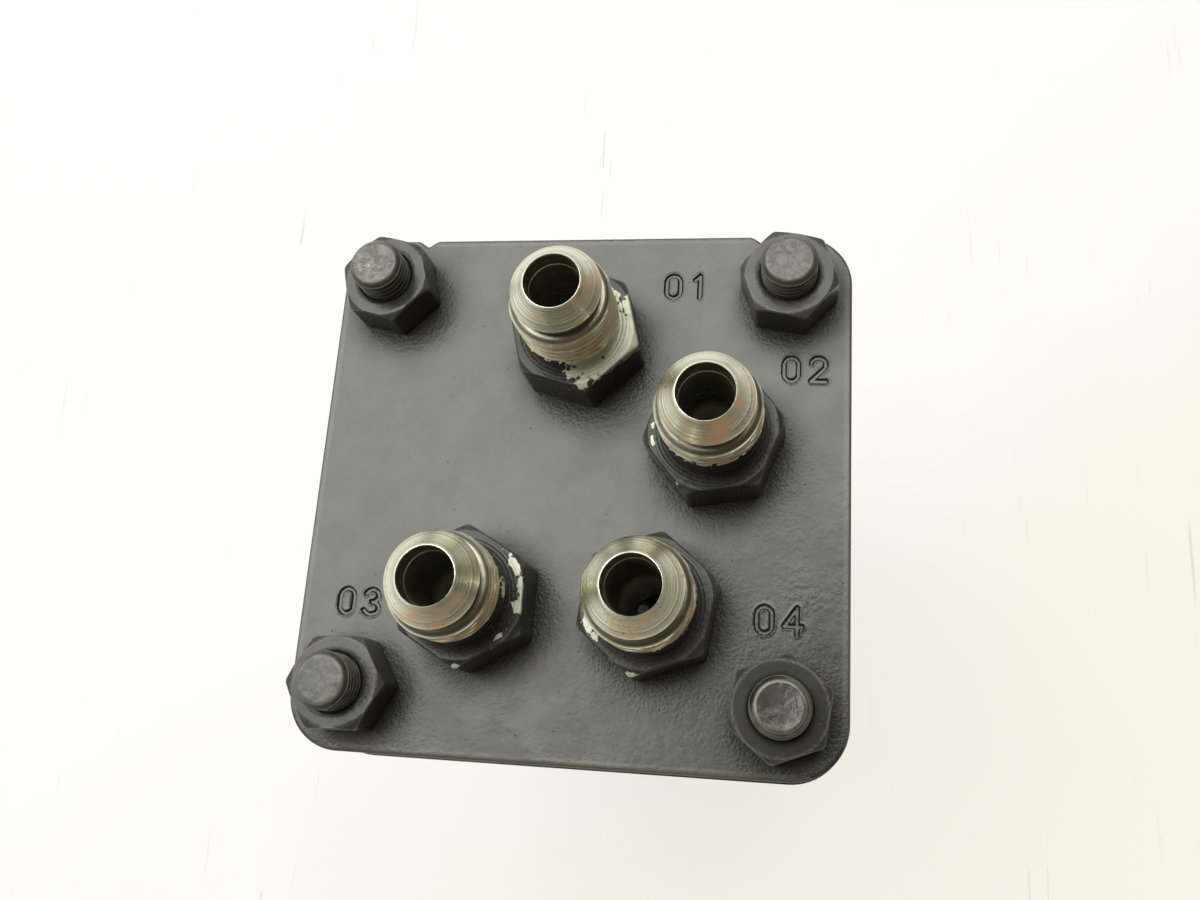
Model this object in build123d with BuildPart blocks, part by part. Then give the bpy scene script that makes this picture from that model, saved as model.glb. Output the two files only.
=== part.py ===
"""Orbital steering unit: a square stack of plates round a rotating gerotor metering set.

Heights run along +Z from the mounting face (Z = 0) up to the port face; the input shaft
points down. All sizes are in millimetres.
"""
from build123d import *
from math import cos, hypot, pi, radians, sin, sqrt, tan
import os

os.makedirs("parts", exist_ok=True)

# ---------------------------------------------------------------- driving dimensions
# Square stack of plates, held by four long bolts
BODY_SIDE = 79.4
CORNER_R = 8.0
BOLT_EDGE = 9.2             # bolt axis to the side of the stack
BOLT_R = 3.97
BOLT_CLEAR = 0.18
MANIFOLD_LIP = 0.5          # the port manifold stands a little proud of the other plates
EDGE_BREAK = 0.4

PILOT_H = 3.2
BOSS_H = 9.0
FLANGE_T = 12.0
METER_RING_T = 22.0
ISOLATION_T = 8.0
VALVE_RING_T = 6.35
MANIFOLD_T = 9.5
COVER_T = 16.0

# Two alignment notches in the +Y edge of the port cover
NOTCH_EDGE_LEFT = 13.1      # notch to the side of the cover
NOTCH_EDGE_RIGHT = 13.4
NOTCH_W = 3.4
NOTCH_D = 1.1

# Bolts and nuts
HEX_AF = 12.7
HEAD_H = 5.3
NUT_H = 6.75
NUT_TURN = {1: 1.5, 2: 21.5, 3: 49.3, 4: 45.5}   # each nut stops at its own angle
STUD_OUT = 11.5             # bolt end above the port face
THREAD_CLEAR = 0.03

# Port fittings: size 6 flare ends on a five-place circle, the fifth place left solid
PORT_CIRCLE_R = 21.84
PORT_CENTRE = (-0.2, -0.2)
PORT_ANGLE = {"out": 90.0, "in": 18.0, "right": 306.0, "left": 234.0}
PORT_TURN = {"out": 44.0, "in": 9.5, "right": 20.0, "left": 30.0}
CHECK_ANGLE = 162.0
FIT_THREAD_R = 7.144
FIT_BORE_R = 3.77
FIT_AF = 17.46
FIT_HEX_H = 8.5
FIT_NECK_R = 6.3
FIT_THREAD_LOW = 12.0
FIT_THREAD_HIGH = 19.1
FIT_CHAMFER = 0.42
FIT_GROOVE_R = 5.7
FIT_GROOVE_W = 1.6
FIT_RIM_R = 6.29
FIT_RIM_W = 0.7
FIT_NOSE_R = 4.27
FIT_CONE = 37.0
STEM_L = 9.0
STEM_NECK_R = 6.0
STEM_NECK_L = 2.6
PORT_DEPTH = 11.5
PASSAGE_R = 3.6
O_RING_SECTION_R = 0.92
O_RING_R = 6.98

# Face seals between the plates
SEAL_R = 32.2
SEAL_W = 2.2
SEAL_DEPTH = 1.6
SEAL_GAP = 0.06

# Locating dowels of the valve section
DOWEL_R = 1.55
DOWEL_WALL = 1.75
DOWEL_REACH = 4.0
DOWEL_ANGLE = 30.0

# Mounting boss
PILOT_R = 15.875
BOSS_R = 33.0
BOSS_ROOT_R = 2.0
HEAD_POCKET = 0.45          # room round a bolt head's corners
MOUNT_PCD = 50.8
MOUNT_HOLE_R = 3.97
MOUNT_DEPTH = 12.7

# Input shaft and what it runs in
SHAFT_R = 9.525
SHAFT_RUN = 0.04
BUSH_WALL = 1.5
SEAL_BORE_R = 13.5
DUST_SEAL_T = 2.5
RING_T = 1.1
RING_DEPTH = 0.95
WASHER_T = 1.2
SHAFT_SEAL_T = 4.0
SHAFT_PLAIN = 13.0          # plain shaft below the mounting face
SERRATION_L = 14.0
SERRATION_R = 8.75
SERRATION_TAPER = 0.55
SERRATION_TEETH = 40
SERRATION_DEPTH = 0.5
NUT_RELIEF_R = 7.2
NUT_RELIEF_L = 2.2
NUT_THREAD_R = 7.938
NUT_THREAD_L = 14.5
SHAFT_SPLINE_TEETH = 12
SHAFT_SPLINE_R = 8.6
SPLINE_DEPTH = 1.1
SPLINE_CLEAR = 0.08

# Thrust bearing
THRUST_IN_R = 12.0
THRUST_OUT_R = 19.0
RACE_T = 1.0
NEEDLE_R = 1.0
NEEDLE_MARGIN = 1.1         # race edge to needle end
NEEDLES = 16
CAGE_T = 1.2
BEARING_CLEAR = 0.02
END_CLEAR = 0.3

# Metering package, turning with the shaft inside the metering ring
METER_BORE_R = 28.6
PACKAGE_GAP = 0.4
DRIVE_PLATE_T = 4.0
SPACER_T = 1.5
GEROTOR_T = 8.0
COMM_HOUSING_T = 5.6
COMM_COVER_T = 2.3
SPACER_HOLE_R = 10.0
SCREWS = 7
SCREW_CIRCLE_R = 25.0
SCREW_R = 1.6
SCREW_HEAD_R = 2.6
SCREW_HEAD_H = 1.5
SCREW_CLEAR = 0.1

# Gerotor: six-lobed rotor orbiting in a seven-lobed stator
STATOR_LOBES = 7
LOBE_CIRCLE_R = 17.5
LOBE_R = 4.2
ECCENTRIC = 1.5
GEROTOR_CLEAR = 0.06
LOBE_TIP_CLEAR = 0.15
ROTOR_FACE_CLEAR = 0.03
HUB_R = 11.0
HUB_BORE_R = 9.2
COMM_RUN = 0.06
COMM_OUT_R = 17.4
COMM_PORTS = 12
COMM_PORT_R = 0.9

# Drive link between the rotor and the valve plate
LINK_TEETH = 12
LINK_TIP_R = 8.2
LINK_ROOT_R = 7.0
LINK_CLEAR = 0.35
LINK_SHAFT_R = 5.0
LINK_HEAD_L = 5.2
LINK_HEX_AF = 11.0
LINK_HEX_CLEAR = 0.45
LINK_HEX_L = 4.4
LINK_HOLE_R = 7.2

# Face seal on the commutator cover
FACE_SEAL_R = 11.6
FACE_SEAL_W = 2.0
FACE_SEAL_DEPTH = 1.6
BACKUP_T = 0.5

# Valve section
VALVE_BORE_R = 26.2
VALVE_PLATE_R = 25.7
VALVE_FACE_CLEAR = 0.04
VALVE_SLOTS = 12
VALVE_SLOT_W = 2.0
VALVE_SLOT_IN_R = 10.5
VALVE_SLOT_OUT_R = 17.0
VALVE_HOLE_R = 1.4
TANG_W = 6.0
TANG_R = 29.0
WINDOW_R = 29.8
SPRING_SPACE = 2.6
SPRING_T = 0.5
SPRING_GAP = 0.08
ISOLATION_HOLES = 14
ISOLATION_HOLE_R = 1.5
ISOLATION_CIRCLE_R = 14.0

# Check valve in the fifth port place
BALL_R = 3.2
BALL_LIFT = 2.0
BALL_GAP = 0.07
CHECK_BORE_R = 4.6
CHECK_SEAT_T = 2.5
CHECK_HOLE_R = 2.0
CHECK_SEAT_LAND = 0.9

# ---------------------------------------------------------------- heights from the stack
Z_FLANGE = BOSS_H
Z_METER = Z_FLANGE + FLANGE_T
Z_ISOLATION = Z_METER + METER_RING_T
Z_VALVE = Z_ISOLATION + ISOLATION_T
Z_MANIFOLD = Z_VALVE + VALVE_RING_T
Z_COVER = Z_MANIFOLD + MANIFOLD_T
Z_FACE = Z_COVER + COVER_T

Z_DRIVE = Z_METER + END_CLEAR
Z_SPACER = Z_DRIVE + DRIVE_PLATE_T
Z_GEROTOR = Z_SPACER + SPACER_T
Z_COMM = Z_GEROTOR + GEROTOR_T
Z_COMM_COVER = Z_COMM + COMM_HOUSING_T
Z_PACKAGE = Z_COMM_COVER + COMM_COVER_T

THRUST_H = RACE_T + 2 * NEEDLE_R + RACE_T
Z_THRUST = Z_METER - THRUST_H
Z_NEEDLE = Z_THRUST + RACE_T + NEEDLE_R

BOLT_PITCH = BODY_SIDE - 2 * BOLT_EDGE
BOLT_HOLE_R = BOLT_R + BOLT_CLEAR
NOTCH_X = (NOTCH_EDGE_LEFT - BODY_SIDE / 2, BODY_SIDE / 2 - NOTCH_EDGE_RIGHT)
DOWEL_CIRCLE_R = SEAL_R + SEAL_W / 2 + DOWEL_WALL + DOWEL_R
NEEDLE_L = THRUST_OUT_R - THRUST_IN_R - 2 * NEEDLE_MARGIN
PACKAGE_R = METER_BORE_R - PACKAGE_GAP
BUSH_OUT_R = SHAFT_R + BUSH_WALL
CORNERS = {1: (-1, -1), 2: (1, -1), 3: (1, 1), 4: (-1, 1)}


def port_xy(angle):
    """The place on the port circle at an angle in degrees."""
    return (
        PORT_CENTRE[0] + PORT_CIRCLE_R * cos(radians(angle)),
        PORT_CENTRE[1] + PORT_CIRCLE_R * sin(radians(angle)),
    )


PORTS = {name: port_xy(angle) for name, angle in PORT_ANGLE.items()}
CHECK_XY = port_xy(CHECK_ANGLE)


def stack_plate(z_low, thickness, side=BODY_SIDE):
    """A square plate of the stack with rounded corners and its four bolt holes."""
    with BuildPart() as plate:
        with BuildSketch(Plane.XY.offset(z_low)):
            RectangleRounded(side, side, CORNER_R + (side - BODY_SIDE) / 2)
            with GridLocations(BOLT_PITCH, BOLT_PITCH, 2, 2):
                Circle(BOLT_HOLE_R, mode=Mode.SUBTRACT)
        extrude(amount=thickness)
    return plate.part


def ring(r_out, r_in, z_low, z_high):
    """A flat ring about the main axis."""
    with BuildPart() as flat_ring:
        with BuildSketch(Plane.XY.offset(z_low)):
            Circle(r_out)
            Circle(r_in, mode=Mode.SUBTRACT)
        extrude(amount=z_high - z_low)
    return flat_ring.part


def seal_groove(z_low):
    """The ring-shaped groove that a body seal lies in."""
    return ring(SEAL_R + SEAL_W / 2, SEAL_R - SEAL_W / 2, z_low, z_low + SEAL_DEPTH)


def dowel_holes(z_low, z_high):
    """The two holes that the valve section's dowels pass through."""
    with BuildPart() as holes:
        with BuildSketch(Plane.XY.offset(z_low)):
            with PolarLocations(DOWEL_CIRCLE_R, 2, start_angle=DOWEL_ANGLE):
                Circle(DOWEL_R + SEAL_GAP)
        extrude(amount=z_high - z_low)
    return holes.part


def tooth_points(teeth, tip_r, root_r, tip_share=0.3, root_share=0.3):
    """Corners of a splined outline: each tooth has a flat tip, a flat root and two flanks."""
    pitch = 2 * pi / teeth
    points = []
    for k in range(teeth):
        middle = k * pitch
        for angle, radius in (
            (middle - (1 - root_share) * pitch / 2, root_r),
            (middle - tip_share * pitch / 2, tip_r),
            (middle + tip_share * pitch / 2, tip_r),
            (middle + (1 - root_share) * pitch / 2, root_r),
        ):
            points.append((radius * cos(angle), radius * sin(angle)))
    return points


def rotor_point(angle):
    """A point of the rotor's outline: the path of a stator lobe's centre, moved in by its radius."""
    turns = STATOR_LOBES
    path = (
        LOBE_CIRCLE_R * cos(angle) + ECCENTRIC * cos(turns * angle),
        LOBE_CIRCLE_R * sin(angle) + ECCENTRIC * sin(turns * angle),
    )
    slope = (
        -LOBE_CIRCLE_R * sin(angle) - turns * ECCENTRIC * sin(turns * angle),
        LOBE_CIRCLE_R * cos(angle) + turns * ECCENTRIC * cos(turns * angle),
    )
    length = hypot(*slope)
    return (path[0] - LOBE_R * slope[1] / length, path[1] + LOBE_R * slope[0] / length)


# ---------------------------------------------------------------- upper cover
# Cast cover with the mounting boss, the pilot, the shaft bore and the thrust recess
with BuildPart() as upper_cover:
    add(stack_plate(Z_FLANGE, FLANGE_T))
    with BuildSketch(Plane.XZ):
        with BuildLine():
            Polyline(
                (0, -PILOT_H), (PILOT_R - EDGE_BREAK, -PILOT_H), (PILOT_R, EDGE_BREAK - PILOT_H),
                (PILOT_R, 0), (BOSS_R - EDGE_BREAK, 0), (BOSS_R, EDGE_BREAK),
                (BOSS_R, Z_FLANGE - BOSS_ROOT_R),
            )
            RadiusArc(
                (BOSS_R, Z_FLANGE - BOSS_ROOT_R), (BOSS_R + BOSS_ROOT_R, Z_FLANGE), BOSS_ROOT_R
            )
            Polyline((BOSS_R + BOSS_ROOT_R, Z_FLANGE), (0, Z_FLANGE), (0, -PILOT_H))
        make_face()
    revolve(axis=Axis.Z)
    Z_RING = DUST_SEAL_T - PILOT_H
    Z_WASHER = Z_RING + RING_T
    Z_SHAFT_SEAL = Z_WASHER + WASHER_T
    Z_BUSH = Z_SHAFT_SEAL + SHAFT_SEAL_T
    for radius, low, high in (
        (SEAL_BORE_R, -PILOT_H, Z_BUSH),
        (SEAL_BORE_R + RING_DEPTH, Z_RING, Z_WASHER),
        (BUSH_OUT_R + BEARING_CLEAR, Z_BUSH, Z_THRUST),
        (THRUST_OUT_R + SEAL_GAP, Z_THRUST, Z_METER),
    ):
        with BuildSketch(Plane.XY.offset(low)):
            Circle(radius)
        extrude(amount=high - low, mode=Mode.SUBTRACT)
    with BuildSketch(Plane.XY):
        with GridLocations(BOLT_PITCH, BOLT_PITCH, 2, 2):
            Circle(HEX_AF / sqrt(3) + HEAD_POCKET)
    extrude(amount=BOSS_H, mode=Mode.SUBTRACT)
    with BuildSketch(Plane.XY):
        with PolarLocations(MOUNT_PCD / 2, 4, start_angle=45):
            Circle(MOUNT_HOLE_R)
    extrude(amount=MOUNT_DEPTH, mode=Mode.SUBTRACT)
    add(seal_groove(Z_METER - SEAL_DEPTH), mode=Mode.SUBTRACT)
upper_cover.part.label = "upper_cover"
export_step(upper_cover.part, "parts/upper_cover.step")

# ---------------------------------------------------------------- metering ring
with BuildPart() as metering_ring:
    add(stack_plate(Z_METER, METER_RING_T))
    with BuildSketch(Plane.XY.offset(Z_METER)):
        Circle(METER_BORE_R)
    extrude(amount=METER_RING_T, mode=Mode.SUBTRACT)
metering_ring.part.label = "metering_ring"
export_step(metering_ring.part, "parts/metering_ring.step")

# ---------------------------------------------------------------- isolation manifold
with BuildPart() as isolation_manifold:
    add(stack_plate(Z_ISOLATION, ISOLATION_T))
    with BuildSketch(Plane.XY.offset(Z_ISOLATION)):
        Circle(LINK_HOLE_R)
        with PolarLocations(ISOLATION_CIRCLE_R, ISOLATION_HOLES):
            Circle(ISOLATION_HOLE_R)
    extrude(amount=ISOLATION_T, mode=Mode.SUBTRACT)
    add(seal_groove(Z_ISOLATION), mode=Mode.SUBTRACT)
    add(seal_groove(Z_VALVE - SEAL_DEPTH), mode=Mode.SUBTRACT)
    add(dowel_holes(Z_VALVE - DOWEL_REACH, Z_VALVE), mode=Mode.SUBTRACT)
isolation_manifold.part.label = "isolation_manifold"
export_step(isolation_manifold.part, "parts/isolation_manifold.step")

# ---------------------------------------------------------------- valve ring
WINDOW_W = TANG_W + 2 * SPRING_SPACE
with BuildPart() as valve_ring:
    add(stack_plate(Z_VALVE, VALVE_RING_T))
    with BuildSketch(Plane.XY.offset(Z_VALVE)):
        Circle(VALVE_BORE_R)
        Rectangle(2 * WINDOW_R, WINDOW_W)
    extrude(amount=VALVE_RING_T, mode=Mode.SUBTRACT)
    add(dowel_holes(Z_VALVE, Z_MANIFOLD), mode=Mode.SUBTRACT)
valve_ring.part.label = "valve_ring"
export_step(valve_ring.part, "parts/valve_ring.step")

# ---------------------------------------------------------------- port manifold
with BuildPart() as port_manifold:
    add(stack_plate(Z_MANIFOLD, MANIFOLD_T, BODY_SIDE + 2 * MANIFOLD_LIP))
    with BuildSketch(Plane.XY.offset(Z_MANIFOLD + MANIFOLD_T / 2)):
        with Locations(*PORTS.values()):
            Circle(PASSAGE_R)
    extrude(amount=MANIFOLD_T / 2, mode=Mode.SUBTRACT)
    with BuildSketch(Plane.XY.offset(Z_MANIFOLD)):
        with PolarLocations(PORT_CIRCLE_R - PASSAGE_R, VALVE_SLOTS):
            Circle(VALVE_HOLE_R)
        with Locations(CHECK_XY):
            Circle(CHECK_HOLE_R)
    extrude(amount=MANIFOLD_T, mode=Mode.SUBTRACT)
    add(seal_groove(Z_MANIFOLD), mode=Mode.SUBTRACT)
    add(dowel_holes(Z_MANIFOLD, Z_MANIFOLD + DOWEL_REACH), mode=Mode.SUBTRACT)
port_manifold.part.label = "port_manifold"
export_step(port_manifold.part, "parts/port_manifold.step")

# ---------------------------------------------------------------- port cover
with BuildPart() as port_cover:
    add(stack_plate(Z_COVER, COVER_T))
    chamfer(port_cover.faces().sort_by(Axis.Z)[-1].outer_wire().edges(), EDGE_BREAK)
    with BuildSketch(Plane.XY.offset(Z_COVER)):
        for x_notch in NOTCH_X:
            with BuildLine():
                ThreePointArc(
                    (x_notch - NOTCH_W / 2, BODY_SIDE / 2),
                    (x_notch, BODY_SIDE / 2 - NOTCH_D),
                    (x_notch + NOTCH_W / 2, BODY_SIDE / 2),
                )
                Line(
                    (x_notch + NOTCH_W / 2, BODY_SIDE / 2), (x_notch - NOTCH_W / 2, BODY_SIDE / 2)
                )
            make_face()
    extrude(amount=COVER_T, mode=Mode.SUBTRACT)
    with BuildSketch(Plane.XY.offset(Z_FACE - PORT_DEPTH)):
        with Locations(*PORTS.values()):
            Circle(FIT_THREAD_R)
    extrude(amount=PORT_DEPTH, mode=Mode.SUBTRACT)
    with BuildSketch(Plane.XY.offset(Z_FACE - 2 * O_RING_SECTION_R)):
        with Locations(*PORTS.values()):
            Circle(O_RING_R + O_RING_SECTION_R + SEAL_GAP)
    extrude(amount=2 * O_RING_SECTION_R, mode=Mode.SUBTRACT)
    with BuildSketch(Plane.XY.offset(Z_COVER)):
        with Locations(*PORTS.values()):
            Circle(PASSAGE_R)
    extrude(amount=COVER_T, mode=Mode.SUBTRACT)
    Z_BALL = Z_COVER + CHECK_SEAT_LAND - CHECK_HOLE_R + BALL_R * sqrt(2) + BALL_GAP
    CHECK_DEPTH = Z_BALL + BALL_R + BALL_LIFT + END_CLEAR - Z_COVER
    with BuildSketch(Plane.XY.offset(Z_COVER)):
        with Locations(CHECK_XY):
            Circle(CHECK_BORE_R)
    extrude(amount=CHECK_DEPTH, mode=Mode.SUBTRACT)
    add(seal_groove(Z_COVER), mode=Mode.SUBTRACT)
port_cover.part.label = "port_cover"
export_step(port_cover.part, "parts/port_cover.step")

# ---------------------------------------------------------------- body seals
SEAL_SEATS = {
    1: (Z_METER - SEAL_DEPTH, Z_METER),
    2: (Z_ISOLATION, Z_ISOLATION + SEAL_DEPTH),
    3: (Z_VALVE - SEAL_DEPTH, Z_VALVE),
    4: (Z_MANIFOLD, Z_MANIFOLD + SEAL_DEPTH),
    5: (Z_COVER, Z_COVER + SEAL_DEPTH),
}
for number, (seat_low, seat_high) in SEAL_SEATS.items():
    with BuildPart() as body_seal:
        with BuildSketch(Plane.XY.offset(seat_low)):
            Circle(SEAL_R + SEAL_W / 2 - SEAL_GAP)
            Circle(SEAL_R - SEAL_W / 2 + SEAL_GAP, mode=Mode.SUBTRACT)
        extrude(amount=seat_high - seat_low)
    body_seal.part.label = f"body_seal_{number}"
    export_step(body_seal.part, f"parts/body_seal_{number}.step")

# ---------------------------------------------------------------- dowels
with BuildPart() as dowel_pins:
    with BuildSketch(Plane.XY.offset(Z_VALVE - DOWEL_REACH)):
        with PolarLocations(DOWEL_CIRCLE_R, 2, start_angle=DOWEL_ANGLE):
            Circle(DOWEL_R)
    extrude(amount=VALVE_RING_T + 2 * DOWEL_REACH)
    chamfer(dowel_pins.edges().filter_by(GeomType.CIRCLE), EDGE_BREAK)
dowel_pins.part.label = "dowel_pins"
export_step(dowel_pins.part, "parts/dowel_pins.step")

# ---------------------------------------------------------------- clamp bolts and nuts
CHAMFER_R = HEX_AF / 2 - 0.1
for number, (side_x, side_y) in CORNERS.items():
    x_bolt = side_x * BOLT_PITCH / 2
    y_bolt = side_y * BOLT_PITCH / 2
    bolt_axis = Axis((x_bolt, y_bolt, 0), (0, 0, 1))
    bolt_plane = Plane(origin=(x_bolt, y_bolt, 0), x_dir=(1, 0, 0), z_dir=(0, -1, 0))
    corner_drop = (HEX_AF / sqrt(3) - CHAMFER_R) * tan(radians(30))

    with BuildPart() as clamp_bolt:
        with BuildSketch(Plane.XY.offset(Z_FLANGE - HEAD_H)):
            with Locations((x_bolt, y_bolt)):
                RegularPolygon(HEX_AF / 2, 6, major_radius=False)
        extrude(amount=HEAD_H)
        with BuildSketch(bolt_plane):
            with BuildLine():
                Polyline(
                    (0, Z_FLANGE - HEAD_H), (CHAMFER_R, Z_FLANGE - HEAD_H),
                    (HEX_AF / sqrt(3), Z_FLANGE - HEAD_H + corner_drop),
                    (HEX_AF / sqrt(3), Z_FLANGE), (0, Z_FLANGE), close=True,
                )
            make_face()
        revolve(axis=bolt_axis, mode=Mode.INTERSECT)
        with BuildSketch(bolt_plane):
            with BuildLine():
                Polyline(
                    (0, Z_FLANGE), (BOLT_R, Z_FLANGE),
                    (BOLT_R, Z_FACE + STUD_OUT - 0.75), (BOLT_R - 0.72, Z_FACE + STUD_OUT),
                    (0, Z_FACE + STUD_OUT), close=True,
                )
            make_face()
        revolve(axis=bolt_axis)
    clamp_bolt.part.label = f"clamp_bolt_{number}"
    export_step(clamp_bolt.part, f"parts/clamp_bolt_{number}.step")

    with BuildPart() as clamp_nut:
        with BuildSketch(Plane.XY.offset(Z_FACE)):
            with Locations((x_bolt, y_bolt)):
                RegularPolygon(HEX_AF / 2, 6, major_radius=False, rotation=NUT_TURN[number])
        extrude(amount=NUT_H)
        with BuildSketch(bolt_plane):
            with BuildLine():
                Polyline(
                    (BOLT_R + THREAD_CLEAR, Z_FACE), (CHAMFER_R, Z_FACE),
                    (HEX_AF / sqrt(3), Z_FACE + corner_drop),
                    (HEX_AF / sqrt(3), Z_FACE + NUT_H - corner_drop),
                    (CHAMFER_R, Z_FACE + NUT_H), (BOLT_R + 4 * EDGE_BREAK / 3, Z_FACE + NUT_H),
                    (BOLT_R + THREAD_CLEAR, Z_FACE + NUT_H - EDGE_BREAK), close=True,
                )
            make_face()
        revolve(axis=bolt_axis, mode=Mode.INTERSECT)
    clamp_nut.part.label = f"clamp_nut_{number}"
    export_step(clamp_nut.part, f"parts/clamp_nut_{number}.step")

# ---------------------------------------------------------------- port fittings
# Straight-thread stem, hexagon, flare-end thread, relief groove and 37 degree nose
FIT_RIM_TOP = FIT_THREAD_HIGH + FIT_GROOVE_W + FIT_RIM_W
FIT_TOP = FIT_RIM_TOP + (FIT_RIM_R - FIT_NOSE_R) / tan(radians(FIT_CONE))
NOSE_BREAK = 0.35
for name, (x_port, y_port) in PORTS.items():
    port_axis = Axis((x_port, y_port, 0), (0, 0, 1))
    port_plane = Plane(origin=(x_port, y_port, Z_FACE), x_dir=(1, 0, 0), z_dir=(0, -1, 0))
    hex_corner = FIT_AF / sqrt(3)
    hex_chamfer_r = FIT_AF / 2 + 0.25

    with BuildPart() as fitting:
        with BuildSketch(Plane.XY.offset(Z_FACE)):
            with Locations((x_port, y_port)):
                RegularPolygon(FIT_AF / 2, 6, major_radius=False, rotation=PORT_TURN[name])
        extrude(amount=FIT_HEX_H)
        with BuildSketch(port_plane):
            with BuildLine():
                Polyline(
                    (0, 0), (hex_corner, 0),
                    (hex_corner, FIT_HEX_H - (hex_corner - hex_chamfer_r) * tan(radians(30))),
                    (hex_chamfer_r, FIT_HEX_H), (0, FIT_HEX_H), close=True,
                )
            make_face()
        revolve(axis=port_axis, mode=Mode.INTERSECT)
        with BuildSketch(port_plane):
            with BuildLine():
                Polyline(
                    (0, -STEM_L), (FIT_THREAD_R - THREAD_CLEAR - FIT_CHAMFER, -STEM_L),
                    (FIT_THREAD_R - THREAD_CLEAR, FIT_CHAMFER - STEM_L),
                    (FIT_THREAD_R - THREAD_CLEAR, -STEM_NECK_L), (STEM_NECK_R, -STEM_NECK_L),
                    (STEM_NECK_R, 0), (0, 0), close=True,
                )
            make_face()
        revolve(axis=port_axis)
        with BuildSketch(port_plane):
            with BuildLine():
                Polyline(
                    (0, FIT_HEX_H), (FIT_NECK_R, FIT_HEX_H), (FIT_NECK_R, FIT_THREAD_LOW - FIT_CHAMFER),
                    (FIT_THREAD_R, FIT_THREAD_LOW),
                    (FIT_THREAD_R, FIT_THREAD_HIGH - FIT_CHAMFER),
                    (FIT_THREAD_R - FIT_CHAMFER, FIT_THREAD_HIGH), (FIT_GROOVE_R, FIT_THREAD_HIGH),
                    (FIT_GROOVE_R, FIT_THREAD_HIGH + FIT_GROOVE_W),
                    (FIT_RIM_R, FIT_THREAD_HIGH + FIT_GROOVE_W), (FIT_RIM_R, FIT_RIM_TOP),
                    (FIT_NOSE_R, FIT_TOP), (0, FIT_TOP), close=True,
                )
            make_face()
        revolve(axis=port_axis)
        with BuildSketch(port_plane):
            with BuildLine():
                Polyline(
                    (0, -STEM_L), (FIT_BORE_R, -STEM_L), (FIT_BORE_R, FIT_TOP - NOSE_BREAK),
                    (FIT_BORE_R + NOSE_BREAK, FIT_TOP), (0, FIT_TOP), close=True,
                )
            make_face()
        revolve(axis=port_axis, mode=Mode.SUBTRACT)
    fitting.part.label = f"fitting_{name}"
    export_step(fitting.part, f"parts/fitting_{name}.step")

    with BuildPart() as port_o_ring:
        with BuildSketch(port_plane):
            with Locations((O_RING_R, -O_RING_SECTION_R)):
                Circle(O_RING_SECTION_R - SEAL_GAP / 2)
        revolve(axis=port_axis)
    port_o_ring.part.label = f"port_o_ring_{name}"
    export_step(port_o_ring.part, f"parts/port_o_ring_{name}.step")

# ---------------------------------------------------------------- check valve
with BuildPart() as check_seat:
    with BuildSketch(Plane(origin=(*CHECK_XY, Z_COVER), x_dir=(1, 0, 0), z_dir=(0, -1, 0))):
        with BuildLine():
            Polyline(
                (CHECK_HOLE_R, 0), (CHECK_BORE_R - BEARING_CLEAR, 0),
                (CHECK_BORE_R - BEARING_CLEAR, CHECK_SEAT_T),
                (CHECK_HOLE_R + CHECK_SEAT_T - CHECK_SEAT_LAND, CHECK_SEAT_T),
                (CHECK_HOLE_R, CHECK_SEAT_LAND), close=True,
            )
        make_face()
    revolve(axis=Axis((*CHECK_XY, 0), (0, 0, 1)))
check_seat.part.label = "check_seat"
export_step(check_seat.part, "parts/check_seat.step")

with BuildPart() as check_ball:
    with Locations((*CHECK_XY, Z_BALL)):
        Sphere(BALL_R)
check_ball.part.label = "check_ball"
export_step(check_ball.part, "parts/check_ball.step")

# ---------------------------------------------------------------- shaft seals and bushing
SHAFT_BORE_R = SHAFT_R + SHAFT_RUN
with BuildPart() as dust_seal:
    with BuildSketch(Plane.XZ):
        with BuildLine():
            Polyline(
                (SHAFT_BORE_R, -PILOT_H), (SEAL_BORE_R - SEAL_GAP, -PILOT_H),
                (SEAL_BORE_R - SEAL_GAP, Z_RING), (SHAFT_BORE_R + 1.6, Z_RING),
                (SHAFT_BORE_R + 1.2, EDGE_BREAK + 0.8 - PILOT_H),
                (SHAFT_BORE_R, EDGE_BREAK - PILOT_H), close=True,
            )
        make_face()
    revolve(axis=Axis.Z)
dust_seal.part.label = "dust_seal"
export_step(dust_seal.part, "parts/dust_seal.step")

RING_OPENING = 24.0
with BuildPart() as retaining_ring:
    with BuildSketch(Plane.XY.offset(Z_RING)):
        Circle(SEAL_BORE_R + RING_DEPTH - SEAL_GAP)
        Circle(SEAL_BORE_R - 1.6, mode=Mode.SUBTRACT)
        with Locations((SEAL_BORE_R, 0)):
            Rectangle(2 * SEAL_BORE_R * tan(radians(RING_OPENING / 2)), 5.4, mode=Mode.SUBTRACT)
        with PolarLocations(
            SEAL_BORE_R - 1.3, 2, start_angle=-RING_OPENING, angular_range=4 * RING_OPENING
        ):
            Circle(1.5)
            Circle(0.75, mode=Mode.SUBTRACT)
    extrude(amount=RING_T)
retaining_ring.part.label = "retaining_ring"
export_step(retaining_ring.part, "parts/retaining_ring.step")

with BuildPart() as seal_washer:
    add(ring(SEAL_BORE_R - SEAL_GAP, SHAFT_R + 0.5, Z_WASHER, Z_SHAFT_SEAL))
seal_washer.part.label = "seal_washer"
export_step(seal_washer.part, "parts/seal_washer.step")

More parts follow.
